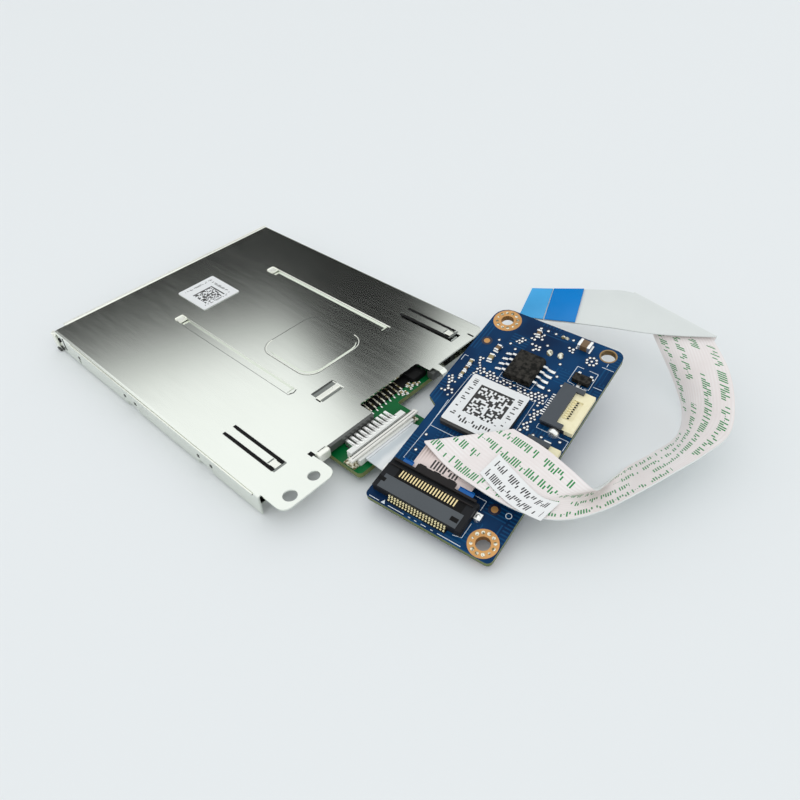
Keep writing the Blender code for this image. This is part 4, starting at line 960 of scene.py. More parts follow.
vias = {
    "seed": 11, "radius": 0.215, "sides": 10, "pitch": 0.66, "rowShare": 0.86, "shift": 0.09,
    "sizes": (0.8, 1.15), "wreath": (17.9, 41.0, 0.85, 8),
    "fields": [  # low and high u, low and high v, share of places filled, box kept clear
        (1.9, 15.4, 28.95, 31.1, 0.88, (5.0, 12.9, 30.45, 31.5)), (-1.4, 1.0, 22.9, 27.3, 0.5, None),
        (14.45, 15.7, 22.6, 28.4, 0.85, None), (4.6, 6.5, 38.9, 40.6, 0.8, None),
        (6.6, 8.3, 40.9, 44.0, 0.55, (6.7, 7.9, 41.3, 43.1)), (7.4, 9.1, 38.5, 40.1, 0.75, None),
        (13.3, 14.3, 40.8, 42.0, 0.7, None), (0.6, 2.1, 31.0, 33.0, 0.3, None)],
    "single": [
        (17.9, 41.0), (1.83, 37.8), (5.35, 37.24), (9.8, 40.65), (16.0, 33.8), (14.66, 31.93), (16.7, 22.7),
        (18.0, 23.0), (1.09, 32.64), (9.8, 43.8), (13.1, 43.9), (19.6, 12.2), (16.2, 10.6), (17.4, 10.2),
        (2.2, 10.9), (2.0, 14.2), (19.8, 37.4), (13.6, 37.9), (14.4, 35.2), (4.0, 38.0), (20.9, 23.6)]}


def viaField(lowU, highU, lowV, highV, share, clear):
    pitch, shift = vias["pitch"], vias["shift"]
    spots = []
    for row in range(int((highV - lowV) / (pitch * vias["rowShare"])) + 1):
        v = lowV + row * pitch * vias["rowShare"]
        u = lowU + (row % 2) * pitch / 2
        while u <= highU:
            kept = random.random() < share
            if kept and not (clear and clear[0] < u < clear[1] and clear[2] < v < clear[3]):
                moved = [value + random.uniform(-shift, shift) for value in (u, v)]
                spots.append(spot(*moved, size=random.uniform(*vias["sizes"])))
            u += pitch
    return spots


def makeVias():
    random.seed(vias["seed"])
    spots = []
    for field in vias["fields"]:
        spots += viaField(*field)
    spots += [spot(u, v) for u, v in circlePoints(*vias["wreath"]) + vias["single"]]
    via = addDisc(vias["radius"] * 1.6, 0.0, 0.02, sides=vias["sides"])
    insetTop(via, vias["radius"] * 0.6, 0.05, 0.72)
    paint(via, [maskEdge, tinBright], lambda centre, normal: 1 if centre.z > 0.03 else 0)
    finishPiece(scatter(via, spots), "board_vias", boardMatrix, smooth=60)
    print("vias:", len(spots))


# plated rings round the holes, copper marks, pads and chip parts

boardDetail = {
    "thick": 1.05, "ringTurns": 12, "dotSeed": 5, "dotSizes": (0.75, 1.25),
    "rings": [("board_ring_1", 0.78, 42.58, 2.55, 1.14, True),
              ("board_ring_2", 19.69, 2.43, 2.36, 1.14, True),
              ("board_hole_wall", 19.8, 43.4, 1.5, 1.27, False)],
    "marks": [(0.05, 36.6), (18.3, 8.05)], "padHeight": 0.34,
    "leadRows": (31.85, 33.12, 34.38, 35.65), "leadColumns": ((4.85, 0.95), (13.35, 1.25)),
    "pads": [(10.9, 39.35, 0.55, 0.75, 20), (12.8, 39.6, 0.5, 0.75, 20), (11.3, 43.65, 0.42, 0.36, 0),
             (12.0, 43.7, 0.36, 0.3, 0)],
    "caps": [  # u, v, width, length and turn, height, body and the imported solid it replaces
        (2.82, 33.25, 0.85, 1.55, 4, 0.62, partOlive, ("small_part_2",)),
        (2.78, 35.75, 0.8, 1.4, -6, 0.62, partBrown, ("small_part_3",)),
        (0.25, 30.8, 0.6, 1.15, 4, 0.42, partOlive, ("small_part_4",)),
        (0.3, 29.2, 0.55, 1.05, 2, 0.42, partBrown, ()), (0.34, 27.85, 0.55, 1.05, 0, 0.42, partOlive, ()),
        (7.3, 42.2, 0.7, 1.3, 8, 0.62, partBrown, ("small_part_1",))],
    "tank": (15.55, 43.25, 90), "tankSize": (1.7, 2.3, 1.15)}


def makeRing(name, u, v, radius, hole, dotted):
    # a plated ring round a hole, with its wall and a ring below, and a wreath of solder dots on top
    ring = addDisc(radius, 0.0, 0.03, sides=56)
    insetTop(ring, radius - hole)
    deleteFaces(ring, lambda centre, normal: centre.xy.length < 0.01 and centre.z > 0.02)
    deleteFaces(ring, lambda centre, normal: normal.z < -0.9)
    bpy.ops.object.mode_set(mode="EDIT")
    bpy.ops.mesh.select_mode(type="EDGE")
    bpy.ops.mesh.select_all(action="DESELECT")
    bpy.ops.object.mode_set(mode="OBJECT")
    corners = ring.data.vertices
    for edge in ring.data.edges:
        edge.select = all(corners[index].co.xy.length < hole + 0.05 and corners[index].co.z > 0.02
                          for index in edge.vertices)
    bpy.ops.object.mode_set(mode="EDIT")
    bpy.ops.mesh.extrude_region_move(TRANSFORM_OT_translate={"value": (0, 0, -boardDetail["thick"])})
    bpy.ops.mesh.extrude_region_move(TRANSFORM_OT_translate={"value": (0, 0, -0.02)})
    wider = radius / hole
    bpy.ops.transform.resize(value=(wider, wider, 1.0), center_override=(0, 0, 0.01 - boardDetail["thick"]))
    bpy.ops.mesh.select_mode(type="FACE")
    bpy.ops.mesh.select_all(action="SELECT")
    bpy.ops.mesh.normals_make_consistent(inside=False)
    leaveEdit()
    paint(ring, [copperRing if dotted else holeWall])
    pieces = [ring]
    if dotted:
        random.seed(boardDetail["dotSeed"])
        dot = addDisc(0.25, 0.02, 0.07, sides=12)
        insetTop(dot, 0.08, 0.04, 0.8)
        paint(dot, [mottledSolder])
        places = circlePoints(0.0, 0.0, (radius + hole) / 2, boardDetail["ringTurns"])
        pieces.append(scatter(dot, [spot(x, y, size=random.uniform(*boardDetail["dotSizes"]))
                                    for x, y in places]))
    finishPiece(joined(pieces), name, boardMatrix @ spot(u, v), smooth=40)


def makeMark(number, u, v):
    mark = addDisc(0.98, 0.0, 0.015, sides=28)
    insetTop(mark, 0.42, 0.03, 0.96)
    paint(mark, [maskEdge, copperRing], lambda centre, normal: 1 if centre.z > 0.02 else 0)
    finishPiece(mark, f"board_mark_{number}", boardMatrix @ spot(u, v))


def makeCapModel(width, length, height, body):
    # a chip capacitor: ceramic middle, tinned ends and a foot of solder at each
    across, along = width / 2, length / 2
    end, foot = across + 0.03, across + 0.1
    parts = [addSlab((-across, 0.12 - along, 0.03), (across, along - 0.12, height), body, 0.06)]
    for side in (-1, 1):
        near, far = sorted((side * along, side * (along - length * 0.24)))
        parts.append(addSlab((-end, near, 0.0), (end, far, height + 0.03), tinBright, 0.08))
        near, far = side * along - 0.17, side * along + 0.17
        parts.append(addSlab((-foot, near, 0.0), (foot, far, 0.16), tinBright, 0.07))
    return joined(parts)


def makePads():
    blobs = []
    for u, v, radiusU, radiusV, turn in boardDetail["pads"]:
        blob = addHalfBall((radiusU, radiusV, boardDetail["padHeight"]), 18, mottledSolder)
        moveTo(blob, spot(u, v, turn=turn))
        blobs.append(blob)
    finishPiece(joined(blobs), "board_solder_pads", boardMatrix, smooth=60)
    lead = addSlab((-0.42, -0.24, 0.0), (0.42, 0.24, 0.22), tinBright, 0.1)
    leanFaces(lead, (0, 0, 1), grow=(0.7, 0.6, 1.0))
    spots = [spot(u, v, size=size) for u, size in boardDetail["leadColumns"] for v in boardDetail["leadRows"]]
    finishPiece(scatter(lead, spots), "memory_lead_solder", boardMatrix, smooth=60)


def makeSmallParts():
    for number, (u, v, width, length, turn, height, body, replaced) in enumerate(boardDetail["caps"], 1):
        part = makeCapModel(width, length, height, body)
        finishPiece(part, f"chip_part_{number}", boardMatrix @ spot(u, v, turn=turn),
                    replaced=replaced)
    u, v, turn = boardDetail["tank"]
    tank = makeCapModel(*boardDetail["tankSize"], partBrown)
    finishPiece(tank, "tank_capacitor", boardMatrix @ spot(u, v, turn=turn),
                replaced=("large_capacitor",))


# white print: outlines of the parts, a ring and an arrow

silkLook = {"thick": 0.055, "flat": 0.5, "ring": (20.6, 8.2, 0.45, 20), "arrow": (3.35, 0.42),
            "arrowRadius": 0.42}
silkLines = [
    [(1.28, 22.0), (1.5, 15.9), (1.35, 8.7), (3.0, 8.75)],
    [(1.5, 16.6), (1.5, 16.1), (4.5, 16.1), (6.6, 16.1)],
    [(1.45, 17.6), (1.7, 28.55), (13.85, 28.62), (14.0, 17.2), (11.5, 17.1)],
    [(6.02, 31.7), (6.05, 30.5), (8.4, 30.5), (8.7, 30.85), (9.2, 30.85), (9.5, 30.5), (11.95, 30.5),
     (12.0, 31.9)], [(16.35, 38.95), (16.35, 35.2), (17.5, 35.1)], [(16.35, 38.95), (17.5, 38.95)],
    [(18.5, 38.95), (20.1, 38.9)], [(20.1, 38.9), (20.15, 35.1), (19.3, 35.05)],
    [(18.9, 34.7), (18.9, 35.1)], [(17.6, 34.7), (17.6, 35.1)],
    [(16.4, 25.2), (16.4, 24.3), (18.9, 24.3)], [(20.3, 24.3), (22.0, 24.3), (22.0, 22.3)],
    [(16.3, 33.4), (16.3, 34.1), (17.2, 34.1)], [(22.0, 40.7), (19.9, 40.7)], [(22.0, 36.1), (20.5, 36.1)],
    [(20.55, 41.8), (20.55, 41.1)], [(14.7, 8.6), (16.6, 8.6), (16.6, 6.8)],
    [(16.6, 4.3), (16.6, 1.6), (15.2, 1.3)], [(16.4, 12.5), (16.4, 11.4), (18.4, 11.4)],
    [(0.75, 0.32), (2.6, 0.32)], [(4.3, 0.32), (7.2, 0.32)], [(8.0, 0.32), (8.4, 0.32)],
    [(9.1, 0.32), (9.5, 0.32)], [(10.3, 0.32), (11.2, 0.32)], [(12.0, 0.32), (12.4, 0.32)],
    [(13.2, 0.32), (17.2, 0.32)], [(-1.6, 30.6), (-1.6, 31.9), (-0.9, 31.9)], [(-0.5, 25.6), (-0.5, 26.6)],
    [(21.9, 19.2), (21.9, 12.0)], [(15.3, 29.2), (15.3, 30.4)], [(9.9, 36.0), (9.9, 36.02)]]


def makeSilk():
    lines = [(line, False) for line in silkLines] + [(circlePoints(*silkLook["ring"]), True)]
    whitePrint = addLines(lines, silkLook["thick"], 0.0, silkInk, roundness=0)
    moveTo(whitePrint, Matrix.Diagonal((1.0, 1.0, silkLook["flat"], 1.0)))
    arrow = addDisc(silkLook["arrowRadius"], 0.0, 0.03, sides=3, centre=silkLook["arrow"])
    insetTop(arrow, 0.05, 0.005)
    paint(arrow, [silkInk])
    finishPiece(joined([whitePrint, arrow]), "board_silk", boardMatrix)


# the small sockets, which are empty, and the long cable's socket

smallSockets = {"middles": (29.4, 17.4), "ways": 8, "pitch": 0.5, "springU": 19.5, "pitU": (18.85, 20.15),
                "tailU": 16.1, "tailStarts": (27.0, 15.0), "tails": 10}
hostSocket = {
    "ways": 20, "middle": 8.9, "pitch": 0.52, "tailRows": ((1.4, 0.95), (1.27, 0.52), (1.03, 0.14)),
    "base": ((0.8, 0.005), (1.48, 0.05)), "plate": ((1.5, 1.62, 1.55), (15.5, 4.15, 1.64)),
    "recess": ((2.9, 4.2, 1.5), (14.9, 6.02, 1.608)),
    "notches": [((0.9, 2.75, 1.5), (2.1, 3.45, 1.66)), ((14.0, 2.45, 1.5), (15.3, 3.2, 1.66))],
    "springStart": -0.35, "springShare": 0.985, "springV": 5.25, "springN": 1.58,
    "solder": [(17.0, 5.5, 0, 1.0), (0.35, 5.5, 0, 0.62), (19.3, 24.5, 80, 1.35), (19.4, 33.9, 0, 0.6)],
    "wings": ((2.3, 4.1), (12.4, 15.0)), "rib": ((1.0, 5.86, 1.5), (15.9, 6.07, 1.88)),
    "bar": ((1.0, 6.72, 1.5), (15.9, 7.16, 1.94)), "grip": ((4.9, 6.75, 1.5), (11.9, 8.02, 2.06)),
    "knuckles": (5.1, 7.7, 10.3)}


def makeSocketTails():
    tail = addSlab((-0.5, -0.12, 0.0), (0.42, 0.12, 0.2), tinBright, 0.05)
    leanFaces(tail, (1, 0, 0), move=(0, 0, 0.1))
    spots = [spot(smallSockets["tailU"], start + smallSockets["pitch"] * step)
             for start in smallSockets["tailStarts"] for step in range(smallSockets["tails"])]
    finishPiece(scatter(tail, spots), "small_socket_tails", boardMatrix)


def makeHostTails():
    # foot of each tail, seen as a row of gold beads in painted highlight, over a black strip of painted shade
    pitch, ways = hostSocket["pitch"], hostSocket["ways"]
    first = hostSocket["middle"] - pitch * (ways - 1) / 2
    bead = addSlab((-0.15, -0.14, 0.0), (0.15, 0.14, 0.2), paintedHighlightGold, 0.06)
    beads = scatter(bead, [spot(first + pitch * step, v, n) for step in range(ways)
                           for v, n in hostSocket["tailRows"]])
    low, high = hostSocket["base"]
    base = addSlab((first - 0.3, *low), (first + pitch * (ways - 1) + 0.3, *high), deepBlack, 0.015)
    finishPiece(joined([beads, base]), "host_socket_feet", boardMatrix,
                replaced=("host_socket_tails",))
    return first


def makeHostPlate():
    # the grey plate, with black painted shade in its recess and notches
    pieces = [addSlab(*hostSocket["plate"], plateauGrey), addSlab(*hostSocket["recess"], deepBlack, 0.01)]
    pieces += [addSlab(*notch, deepBlack, 0.02) for notch in hostSocket["notches"]]
    finishPiece(joined(pieces), "host_socket_plate", boardMatrix)


def makeHostSprings(first):
    spring = addSlab((-0.115, -0.68, 0.0), (0.115, 0.68, 0.12), slotLooks["contact_gold"])
    leanFaces(spring, (0, 1, 0), move=(0, 0, 0.07))
    start, pitch = first + hostSocket["springStart"], hostSocket["pitch"] * hostSocket["springShare"]
    springs = scatter(spring, [spot(start + pitch * step, hostSocket["springV"], hostSocket["springN"])
                               for step in range(hostSocket["ways"])])
    finishPiece(springs, "host_socket_springs", boardMatrix,
                replaced=("host_socket_contacts",))


def makeSocketSolder():
    blob = addHalfBall((0.62, 0.75, 0.85), 20, tinBright)
    blobs = scatter(blob, [spot(u, v, turn=turn, size=size) for u, v, turn, size in hostSocket["solder"]])
    finishPiece(blobs, "socket_solder", boardMatrix, smooth=60)


def makePlugWings():
    wings = []
    for low, high in hostSocket["wings"]:
        # the wings in a darker blue, as painted shade
        wing = addSlab((low, 7.2, 1.35), (high, 8.0, 1.45), wingBlueInShade)
        leanFaces(wing, (0, 1, 0), move=(0, 0, 0.3))
        wings.append(wing)
    finishPiece(joined(wings), "host_plug_wings", boardMatrix)


def makeHostLatch():
    # a fixed rib in front, then the hinged bar with a higher grip and three knuckles
    rib = addSlab(*hostSocket["rib"], latchPlastic, 0.05)
    leanFaces(rib, (0, -1, 0), grow=(0.995, 1.0, 0.8))
    finishPiece(rib, "host_socket_rib", boardMatrix)
    grip = addSlab(*hostSocket["grip"], latchPlastic, 0.12)
    leanFaces(grip, (0, 0, 1), grow=(0.96, 0.8, 1.0))
    pieces = [addSlab(*hostSocket["bar"], latchPlastic, 0.08), grip]
    pieces += [addSlab((low, 7.7, 1.5), (low + 1.3, 8.2, 2.02), latchPlastic, 0.15)
               for low in hostSocket["knuckles"]]
    finishPiece(joined(pieces), "host_latch_bar", boardMatrix, body="host_latch",
                replaced=("host_socket_latch",))


def makeSmallSocketSprings():
    # gold springs in painted highlight, with black pits of painted shade at both ends of each
    for number, middle in enumerate(smallSockets["middles"], 1):
        spring = addSlab((-0.5, -0.075, 0.0), (0.5, 0.075, 0.09), paintedHighlightGold)
        leanFaces(spring, (1, 0, 0), move=(0, 0, -0.05))
        pit = addSlab((-0.17, -0.13, 0.0), (0.17, 0.13, 0.06), deepBlack, 0.02)
        half = (smallSockets["ways"] - 1) / 2
        steps = [middle + smallSockets["pitch"] * (step - half) for step in range(smallSockets["ways"])]
        pieces = [scatter(spring, [spot(smallSockets["springU"], v, 0.97) for v in steps]),
                  scatter(pit, [spot(u, v, 0.975) for u in smallSockets["pitU"] for v in steps])]
        finishPiece(joined(pieces), f"small_socket_springs_{number}", boardMatrix,
                    replaced=(f"small_socket_{number}_contacts",))


makeVias()
for ringEntry in boardDetail["rings"]:
    makeRing(*ringEntry)
for number, place in enumerate(boardDetail["marks"], 1):
    makeMark(number, *place)
makePads()
makeSilk()
makeSmallParts()
makeSocketTails()
firstWay = makeHostTails()
makeHostPlate()
makeHostSprings(firstWay)
makeSocketSolder()
makePlugWings()
makeHostLatch()
makeSmallSocketSprings()
print("board detail made")


# films on the long cable: its label, and the blue film and pull tab on its free end

cableFilms = {  # millimetres along the near and far edge, for the tip and tab from the free end
    "label": [(17.6, 26.9, 0.20), (32.0, 39.8, -0.08), (29.9, 37.9, 0.36), (14.4, 23.3, 0.56)],
    "labelSize": (13.6, 4.6), "labelThick": 0.08, "labelLift": -0.3, "labelPrint": ((0.8, 12.9), (0.3, 4.2)),
    "tip": ((-4.45, -4.1), (0.1, 0.1)), "tipSize": (4.4, 10.5), "tipLift": 0.2,
    "tab": ((-10.4, -10.2), (-4.7, -4.3)), "tabSize": (6.0, 10.5), "tabLift": 0.24, "thick": 0.1}


def edgePoint(side, length):
    # the point at a length along one edge of the long cable, or past its end
    last = len(longRows) - 2
    for row in range(last + 1):
        start, end = longLengths[row][side], longLengths[row + 1][side]
        if length <= end or row == last:
            part = (length - start) / max(end - start, 1e-6)
            return longRows[row][side].lerp(longRows[row + 1][side], part)


def makeFilm(name, corners, steps, size, thick, lift, material, replaced):
    # corners are (near length, far length, share across), from the start's near side round to its far side
    startNear, endNear, endFar, startFar = [Vector(corner) for corner in corners]
    edges = []
    flat = []
    for step in range(steps + 1):
        part = step / steps
        row = []
        for near, far, share in (startNear.lerp(endNear, part), startFar.lerp(endFar, part)):
            nearPoint = edgePoint(0, near)
            row.append(nearPoint + (edgePoint(1, far) - nearPoint) * share)
        edges.append(row)
        flat.append([size[0] * part] * 2)
    film = makeRibbon(name, edges, flat, size[1], 6, thick, [material], lift=lift)
    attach(film, root)
    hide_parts(replaced)


def wholeWidth(start, end):
    # corners of a film over the whole width, from lengths that count from the free end
    near, far = longLengths[-1]
    return [(near + place[0], far + place[1], share)
            for place, share in zip((start, end, end, start), (0.0, 0.0, 1.0, 1.0))]


def makeCableLabelPaper():
    material, tree, shader = newMaterial("cableLabelPaper", labelLook["paper"], 0.45)
    flat = split(tree, node(tree, "ShaderNodeUVMap", uv_map="flat").outputs[0])
    ink = fillGroup(tree, dashPrint, {"Along": flat["X"], "Across": calc(tree, "ADD", flat["Y"], -0.55),
                                      "Row pitch": 2.1, "Height": 0.6, "Stroke": 0.4, "Period": 60.0,
                                      "Fill": 1.0, "Stagger": 0.7})
    along, across = cableFilms["labelPrint"]
    inside = product(tree, between(tree, flat["X"], *along), between(tree, flat["Y"], *across))
    fine = fillGroup(tree, grain, {"Vector": inMillimetres(tree), "Scale": 3.0, "Depth": 0.05})
    paper = mixColour(tree, fine["Value"], (0.78, 0.79, 0.79, 1), (0.84, 0.85, 0.85, 1))
    tree.links.new(mixColour(tree, product(tree, inside, ink["Mask"]), paper, (*labelLook["ink"], 1)),
                   shader.inputs["Base Color"])
    return material


cableLabelPaper = makeCableLabelPaper()
makeFilm("cable_label_sheet", cableFilms["label"], 12, cableFilms["labelSize"], cableFilms["labelThick"],
         cableFilms["labelLift"], cableLabelPaper, "host_cable_label")
blueTip = speckled("blueTip", (0.07, 0.40, 0.80), 0.16, scale=0.7, drift=0.3)
blueTab = speckled("blueTab", (0.002, 0.20, 0.58), 0.2, scale=0.7, drift=0.25, Specular_IOR_Level=0.25)
makeFilm("cable_end_film", wholeWidth(*cableFilms["tip"]), 6, cableFilms["tipSize"], cableFilms["thick"],
         cableFilms["tipLift"], blueTip, "host_cable_end_stiffener")
makeFilm("cable_end_tab", wholeWidth(*cableFilms["tab"]), 6, cableFilms["tabSize"], cableFilms["thick"],
         cableFilms["tabLift"], blueTab, "host_cable_pull_tab")
print("films on the long cable made")


# pressings of the cover, drawn as painted highlight and shadow lines

# each groove's bright and dark line are a painted highlight line and a painted shadow line
pressings = {
    "top": 4.5, "grooveEnds": (16.4, 53.2), "square": (45.35, 31.0, 7.45, 3.2),
    "grooves": [(19.45, 1.02, 0.035, 0.045), (43.6, 0.95, 0.12, 0.0)]}  # middle, half, bright and dark line


def addPatch(low, high, under, over, finish, softness, segments=2):
    # a slab in the cover, from under its top to over it
    top = pressings["top"]
    return addSlab((*low, top - under), (*high, top + over), finish, softness, segments)


def roundedSquare(x, y, half, radius, firstCorner=0, lastCorner=4):
    points = []
    for corner in range(firstCorner, lastCorner):
        angle = math.pi / 2 * corner
        away = Vector((math.cos(angle + math.pi / 4), math.sin(angle + math.pi / 4)))
        middle = away * (half - radius) * math.sqrt(2)
        for step in range(9):
            turn = angle + math.pi / 2 * step / 8
            points.append((x + middle.x + radius * math.cos(turn), y + middle.y + radius * math.sin(turn)))
    return points


def makePressings():
    top = pressings["top"]
    start, end = pressings["grooveEnds"]
    pieces = []
    for middle, half, bright, dark in pressings["grooves"]:
        # painted highlight along one edge and on the start, painted shadow along the other edge and at the
        # end
        pieces.append(addLines([([(start + 1.8, middle + half), (end, middle + half)], False)], bright,
                               top + 0.01, paintedHighlightSteel))
        pieces.append(addPatch((start, middle - half * 0.9), (start + 1.9, middle + half), 0.05, 0.03,
                               paintedHighlightSteel, 0.25))
        if dark:
            shaded = [(start + 1.0, middle - half), (end, middle - half), (end + 0.35, middle)]
            pieces.append(addLines([(shaded, False)], dark, top + 0.005, paintedShadowSteel))
        tip = [(end, middle - half * 0.7), (end + 0.3, middle), (end, middle + half * 0.8)]
        pieces.append(addLines([(tip, False)], 0.09, top + 0.005, paintedShadowSteel))
    finishPiece(joined(pieces), "groove_edges", cageMatrix, smooth=12)
    x, y, half, radius = pressings["square"]
    # the pressed square: painted shade round its outline and a painted highlight inside one half
    outline = addLines([(roundedSquare(x, y, half, radius), True)], 0.045, top + 0.005, paintedShadowSteel)
    inner = roundedSquare(x, y, half - 0.14, radius, 2, 5)
    gleam = addLines([(inner, False)], 0.085, top + 0.01, paintedHighlightSteel)
    finishPiece(joined([outline, gleam]), "square_edges", cageMatrix)


# slots beside the two spring leaves, black as painted shade, painted highlights on the leaves' tips, and the
# strap's window in painted highlight and shade

coverSlots = {
    "beside": [(52.2, 65.9, 7.3), (52.2, 65.5, 5.1), (51.5, 64.9, 49.25), (51.5, 64.0, 51.55)], "half": 0.38,
    "leaves": [(52.0, 64.2, 6.2, 0.74), (51.3, 63.0, 50.4, 0.82)],
    "across": [(65.75, 4.9, 7.6), (64.4, 49.1, 51.8)], "acrossHalf": 0.22,
    "tips": [(63.7, 65.45, 5.55, 6.85), (62.6, 64.1, 49.75, 51.0)],
    "window": [  # low and high corner, under and over the top, finish, softness and its steps
        ((56.2, 21.15), (59.3, 26.1), 0.2, 0.012, paintedShadeSteel, 0.05),
        ((56.15, 21.1), (56.75, 26.2), 0.2, 0.03, paintedShadowSteel, 0.1),
        ((57.7, 20.95), (58.85, 25.9), 0.1, 0.26, paintedHighlightSteel, 0.16, 3),
        ((57.9, 20.75), (59.1, 21.0), 0.1, 0.06, deepBlack, 0.05),
        ((56.5, 25.95), (59.2, 26.2), 0.1, 0.05, paintedHighlightSteel, 0.08)]}


def makeSlots():
    top, half, acrossHalf = pressings["top"], coverSlots["half"], coverSlots["acrossHalf"]
    pieces = [addPatch((low, middle - half), (high, middle + half), 0.1, 0.02, deepBlack, 0.3 * half)
              for low, high, middle in coverSlots["beside"]]
    for low, high, middle, leafHalf in coverSlots["leaves"]:
        leaf = addBlock((low, middle - leafHalf, top - 0.1), (high, middle + leafHalf, top + 0.003))
        insetTop(leaf, 0.1, 0.004)
        paint(leaf, [slotLooks["cage_steel"]])
        pieces.append(leaf)
    for x, low, high in coverSlots["across"]:
        pieces.append(addPatch((x - acrossHalf, low), (x + acrossHalf, high), 0.1, 0.024, paintedShadeSteel, 0.05))
    for start, end, low, high in coverSlots["tips"]:
        pieces.append(addPatch((start, low), (end, high), 0.1, 0.05, paintedHighlightSteel, 0.1))
        pieces.append(addPatch((start - 0.3, low), (start, high), 0.1, 0.03, paintedShadeSteel, 0.03))
    finishPiece(joined(pieces), "leaf_slots", cageMatrix, smooth=12)
    # the strap's window: painted shade on its floor and one side, painted highlight on its bar
    window = joined([addPatch(*patch) for patch in coverSlots["window"]])
    finishPiece(window, "strap_window", cageMatrix, smooth=12)


# the card contacts' black block behind the front window, their slanted ends, and the green board's parts

readerBoard = {
    "top": 2.42, "block": [((62.6, 25.0, 2.12), (66.0, 36.6, 2.78), deepBlack, 0.1),
                           ((62.6, 36.6, 2.12), (66.7, 40.0, 3.5), deepBlack, 0.2)],
    "ends": 8, "endX": 65.2, "endY": 26.3, "endPitch": 1.09, "endTurn": -8.0,
    "bracket": ((67.4, 39.4, 2.42), (69.0, 41.9, 4.1)), "capSize": (0.55, 1.2, 0.45), "capScale": 1.2,
    "caps": [(66.1, 35.6, 10, 0.7), (66.8, 36.4, 10, 0.7), (67.3, 37.1, 10, 0.6), (66.9, 35.3, 80, 0.6),
             (66.8, 33.2, 80, 0.8), (67.3, 33.9, 80, 0.6)],
    "ways": 10, "pitch": 1.0, "tailX": 69.75, "tailY": 17.95,
    "floor": ((68.8, 17.5, 2.4), (70.9, 27.3, 2.48)),
    "seams": [((72.38, 15.4, 3.2), (72.5, 29.8, 4.06)), ((73.0, 15.2, 3.2), (73.12, 30.0, 4.12))]}


def makeContactComb():
    pieces = [addSlab(*slab) for slab in readerBoard["block"]]
    end = addBlock((-1.5, -0.14, 0.32), (1.15, 0.14, 0.5), 0.05)
    editFaces(end, lambda centre, normal: normal.x > 0.9)
    bpy.ops.mesh.extrude_region_move(TRANSFORM_OT_translate={"value": (0.12, 0, -0.3)})
    bpy.ops.mesh.extrude_region_move(TRANSFORM_OT_translate={"value": (0.45, 0, -0.02)})
    leaveEdit()
    paint(end, [mottledSolder, tinBright], lambda centre, normal: int(centre.x > 1.1))
    rows = [readerBoard["endY"] + readerBoard["endPitch"] * step for step in range(readerBoard["ends"])]
    pieces.append(scatter(end, [spot(readerBoard["endX"], y, readerBoard["top"], readerBoard["endTurn"])
                                for y in rows]))
    # the bracket under the cover, in dark grey steel as painted shade
    bracket = addSlab(*readerBoard["bracket"], greyShadeSteel, 0.25)
    editFaces(bracket, lambda centre, normal: normal.z > 0.9)
    bpy.ops.mesh.inset(thickness=0.15, depth=-0.1)
    leaveEdit()
    finishPiece(joined(pieces + [bracket]), "card_contact_comb", cageMatrix,
                replaced=("card_contact_tails",))


def makeReaderCaps():
    parts = []
    for x, y, turn, size in readerBoard["caps"]:
        part = makeCapModel(*readerBoard["capSize"], partOlive)
        moveTo(part, spot(x, y, readerBoard["top"], turn, size * readerBoard["capScale"]))
        parts.append(part)
    finishPiece(joined(parts), "reader_board_caps", cageMatrix,
                replaced=("reader_board_part_1", "reader_board_part_2"))


def makeReaderTails():
    # the reader socket's ten tails, each with a raised top and a bar ahead of it, over a dark patch of
    # painted shade
    tail = addSlab((-1.15, -0.31, 0.0), (1.14, 0.31, 1.15), tinBright, 0.05)
    editFaces(tail, lambda centre, normal: normal.z > 0.9)
    bpy.ops.mesh.inset(thickness=0.06, depth=0.0)
    bpy.ops.mesh.extrude_region_move(TRANSFORM_OT_translate={"value": (0, 0, 0.05)})
    leaveEdit()
    tail = joined([tail, addSlab((1.2, -0.31, 1.5), (1.95, 0.31, 1.66), tinBright, 0.04)])
    tails = scatter(tail, [spot(readerBoard["tailX"], readerBoard["tailY"] + readerBoard["pitch"] * step,
                                readerBoard["top"]) for step in range(readerBoard["ways"])])
    tailShadow = addSlab(*readerBoard["floor"], paintedShadowSteel, 0.02)
    finishPiece(joined([tails, tailShadow]), "reader_socket_tails", cageMatrix,
                replaced=("reader_socket_contacts",))
    # dark lines of painted shade along the latch's seams
    seams = [addSlab(*seam, paintedShadowSteel, 0.02) for seam in readerBoard["seams"]]
    finishPiece(joined(seams), "reader_socket_seams", cageMatrix, body="reader_latch")


# lip, tab, fold and roll at the cover's edges

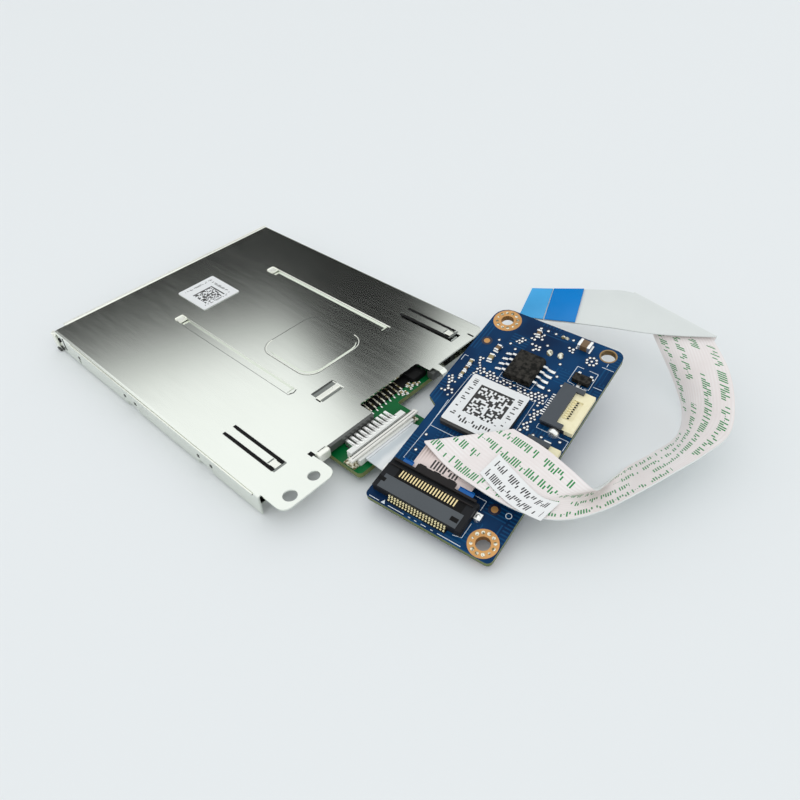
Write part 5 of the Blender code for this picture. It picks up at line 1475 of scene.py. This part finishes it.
coverEdges = {
    "lip": ((-1.1, 2.6, 4.05), (-0.02, 55.7, 4.6)), "tab": ((-1.0, -0.42, 0.9), (0.55, -0.08, 3.9)),
    "tabLean": (-0.2, 0.45, 0.2), "tabFoot": ((-0.6, -0.55, 0.02), (0.95, -0.1, 0.55)),
    "hole": (1.55, -0.02, 3.0), "holeRadius": 0.52,
    "bead": ((6.6, -0.14, 4.05), (66.6, 0.06, 4.36)), "seam": ((6.6, -0.06, 3.9), (66.6, 0.02, 4.04)),
    "nicks": (9.3, 27.1, 30.8, 51.1, 54.8), "cut": ((3.3, -0.07, 1.3), (3.55, 0.02, 4.2)),
    "roll": ((67.2, 11.9, 2.4), (68.8, 14.6, 4.5)), "rollSlot": ((66.9, 11.0, 4.3), (68.0, 11.85, 4.53)),
    "face": ((67.9, 14.6, 3.0), (68.5, 24.7, 4.49)), "faceLean": (-0.42, 0, 0)}


def makeEntryEdges():
    # the lower sheet's rolled lip, seen as a line of painted highlight beyond the card entry, and the folded
    # corner tab, with painted highlight on its face and painted shade at its foot and in its hole
    finishPiece(addSlab(*coverEdges["lip"], paintedHighlightSteel, 0.16), "entry_lip", cageMatrix)
    tab = addSlab(*coverEdges["tab"], paintedHighlightSteel, 0.1)
    leanFaces(tab, (0, 0, 1), move=coverEdges["tabLean"])
    foot = addSlab(*coverEdges["tabFoot"], paintedShadowSteel, 0.12)
    hole = addDisc(coverEdges["holeRadius"], 0.0, 0.12, sides=20)
    insetTop(hole, 0.08, -0.03)
    paint(hole, [deepBlack])
    moveTo(hole, Matrix.Translation(coverEdges["hole"]) @ Matrix.Rotation(math.pi / 2, 4, "X"))
    finishPiece(joined([tab, foot, hole]), "entry_corner_tab", cageMatrix)


def makeSideFold():
    # fold along the side: a bead of painted highlight and a line of painted shadow under it, with painted
    # shade in the wall's nicks and cut
    pieces = [addSlab(*coverEdges["bead"], paintedHighlightSteel, 0.07), addSlab(*coverEdges["seam"], paintedShadowSteel, 0.02)]
    pieces += [addSlab((x - 0.28, -0.07, 1.9), (x + 0.28, 0.02, 2.45), paintedShadowSteel, 0.02)
               for x in coverEdges["nicks"]]
    pieces.append(addSlab(*coverEdges["cut"], paintedShadowSteel, 0.02))
    finishPiece(joined(pieces), "side_fold", cageMatrix)


def makeFrontRoll():
    # rolled tab beside the front lip in painted highlight, its slot in painted shade, and the lip's face
    # darkened as painted shade
    roll = addSlab(*coverEdges["roll"], paintedHighlightSteel, 0.55, 5)
    face = addSlab(*coverEdges["face"], greyShadeSteel, 0.1)
    leanFaces(face, (0, 0, 1), move=coverEdges["faceLean"])
    slot = addSlab(*coverEdges["rollSlot"], deepBlack, 0.05)
    finishPiece(joined([roll, face, slot]), "front_roll", cageMatrix)


makePressings()
makeSlots()
makeContactComb()
makeReaderCaps()
makeReaderTails()
makeEntryEdges()
makeSideFold()
makeFrontRoll()
declareLongCable()
print("cage detail made")
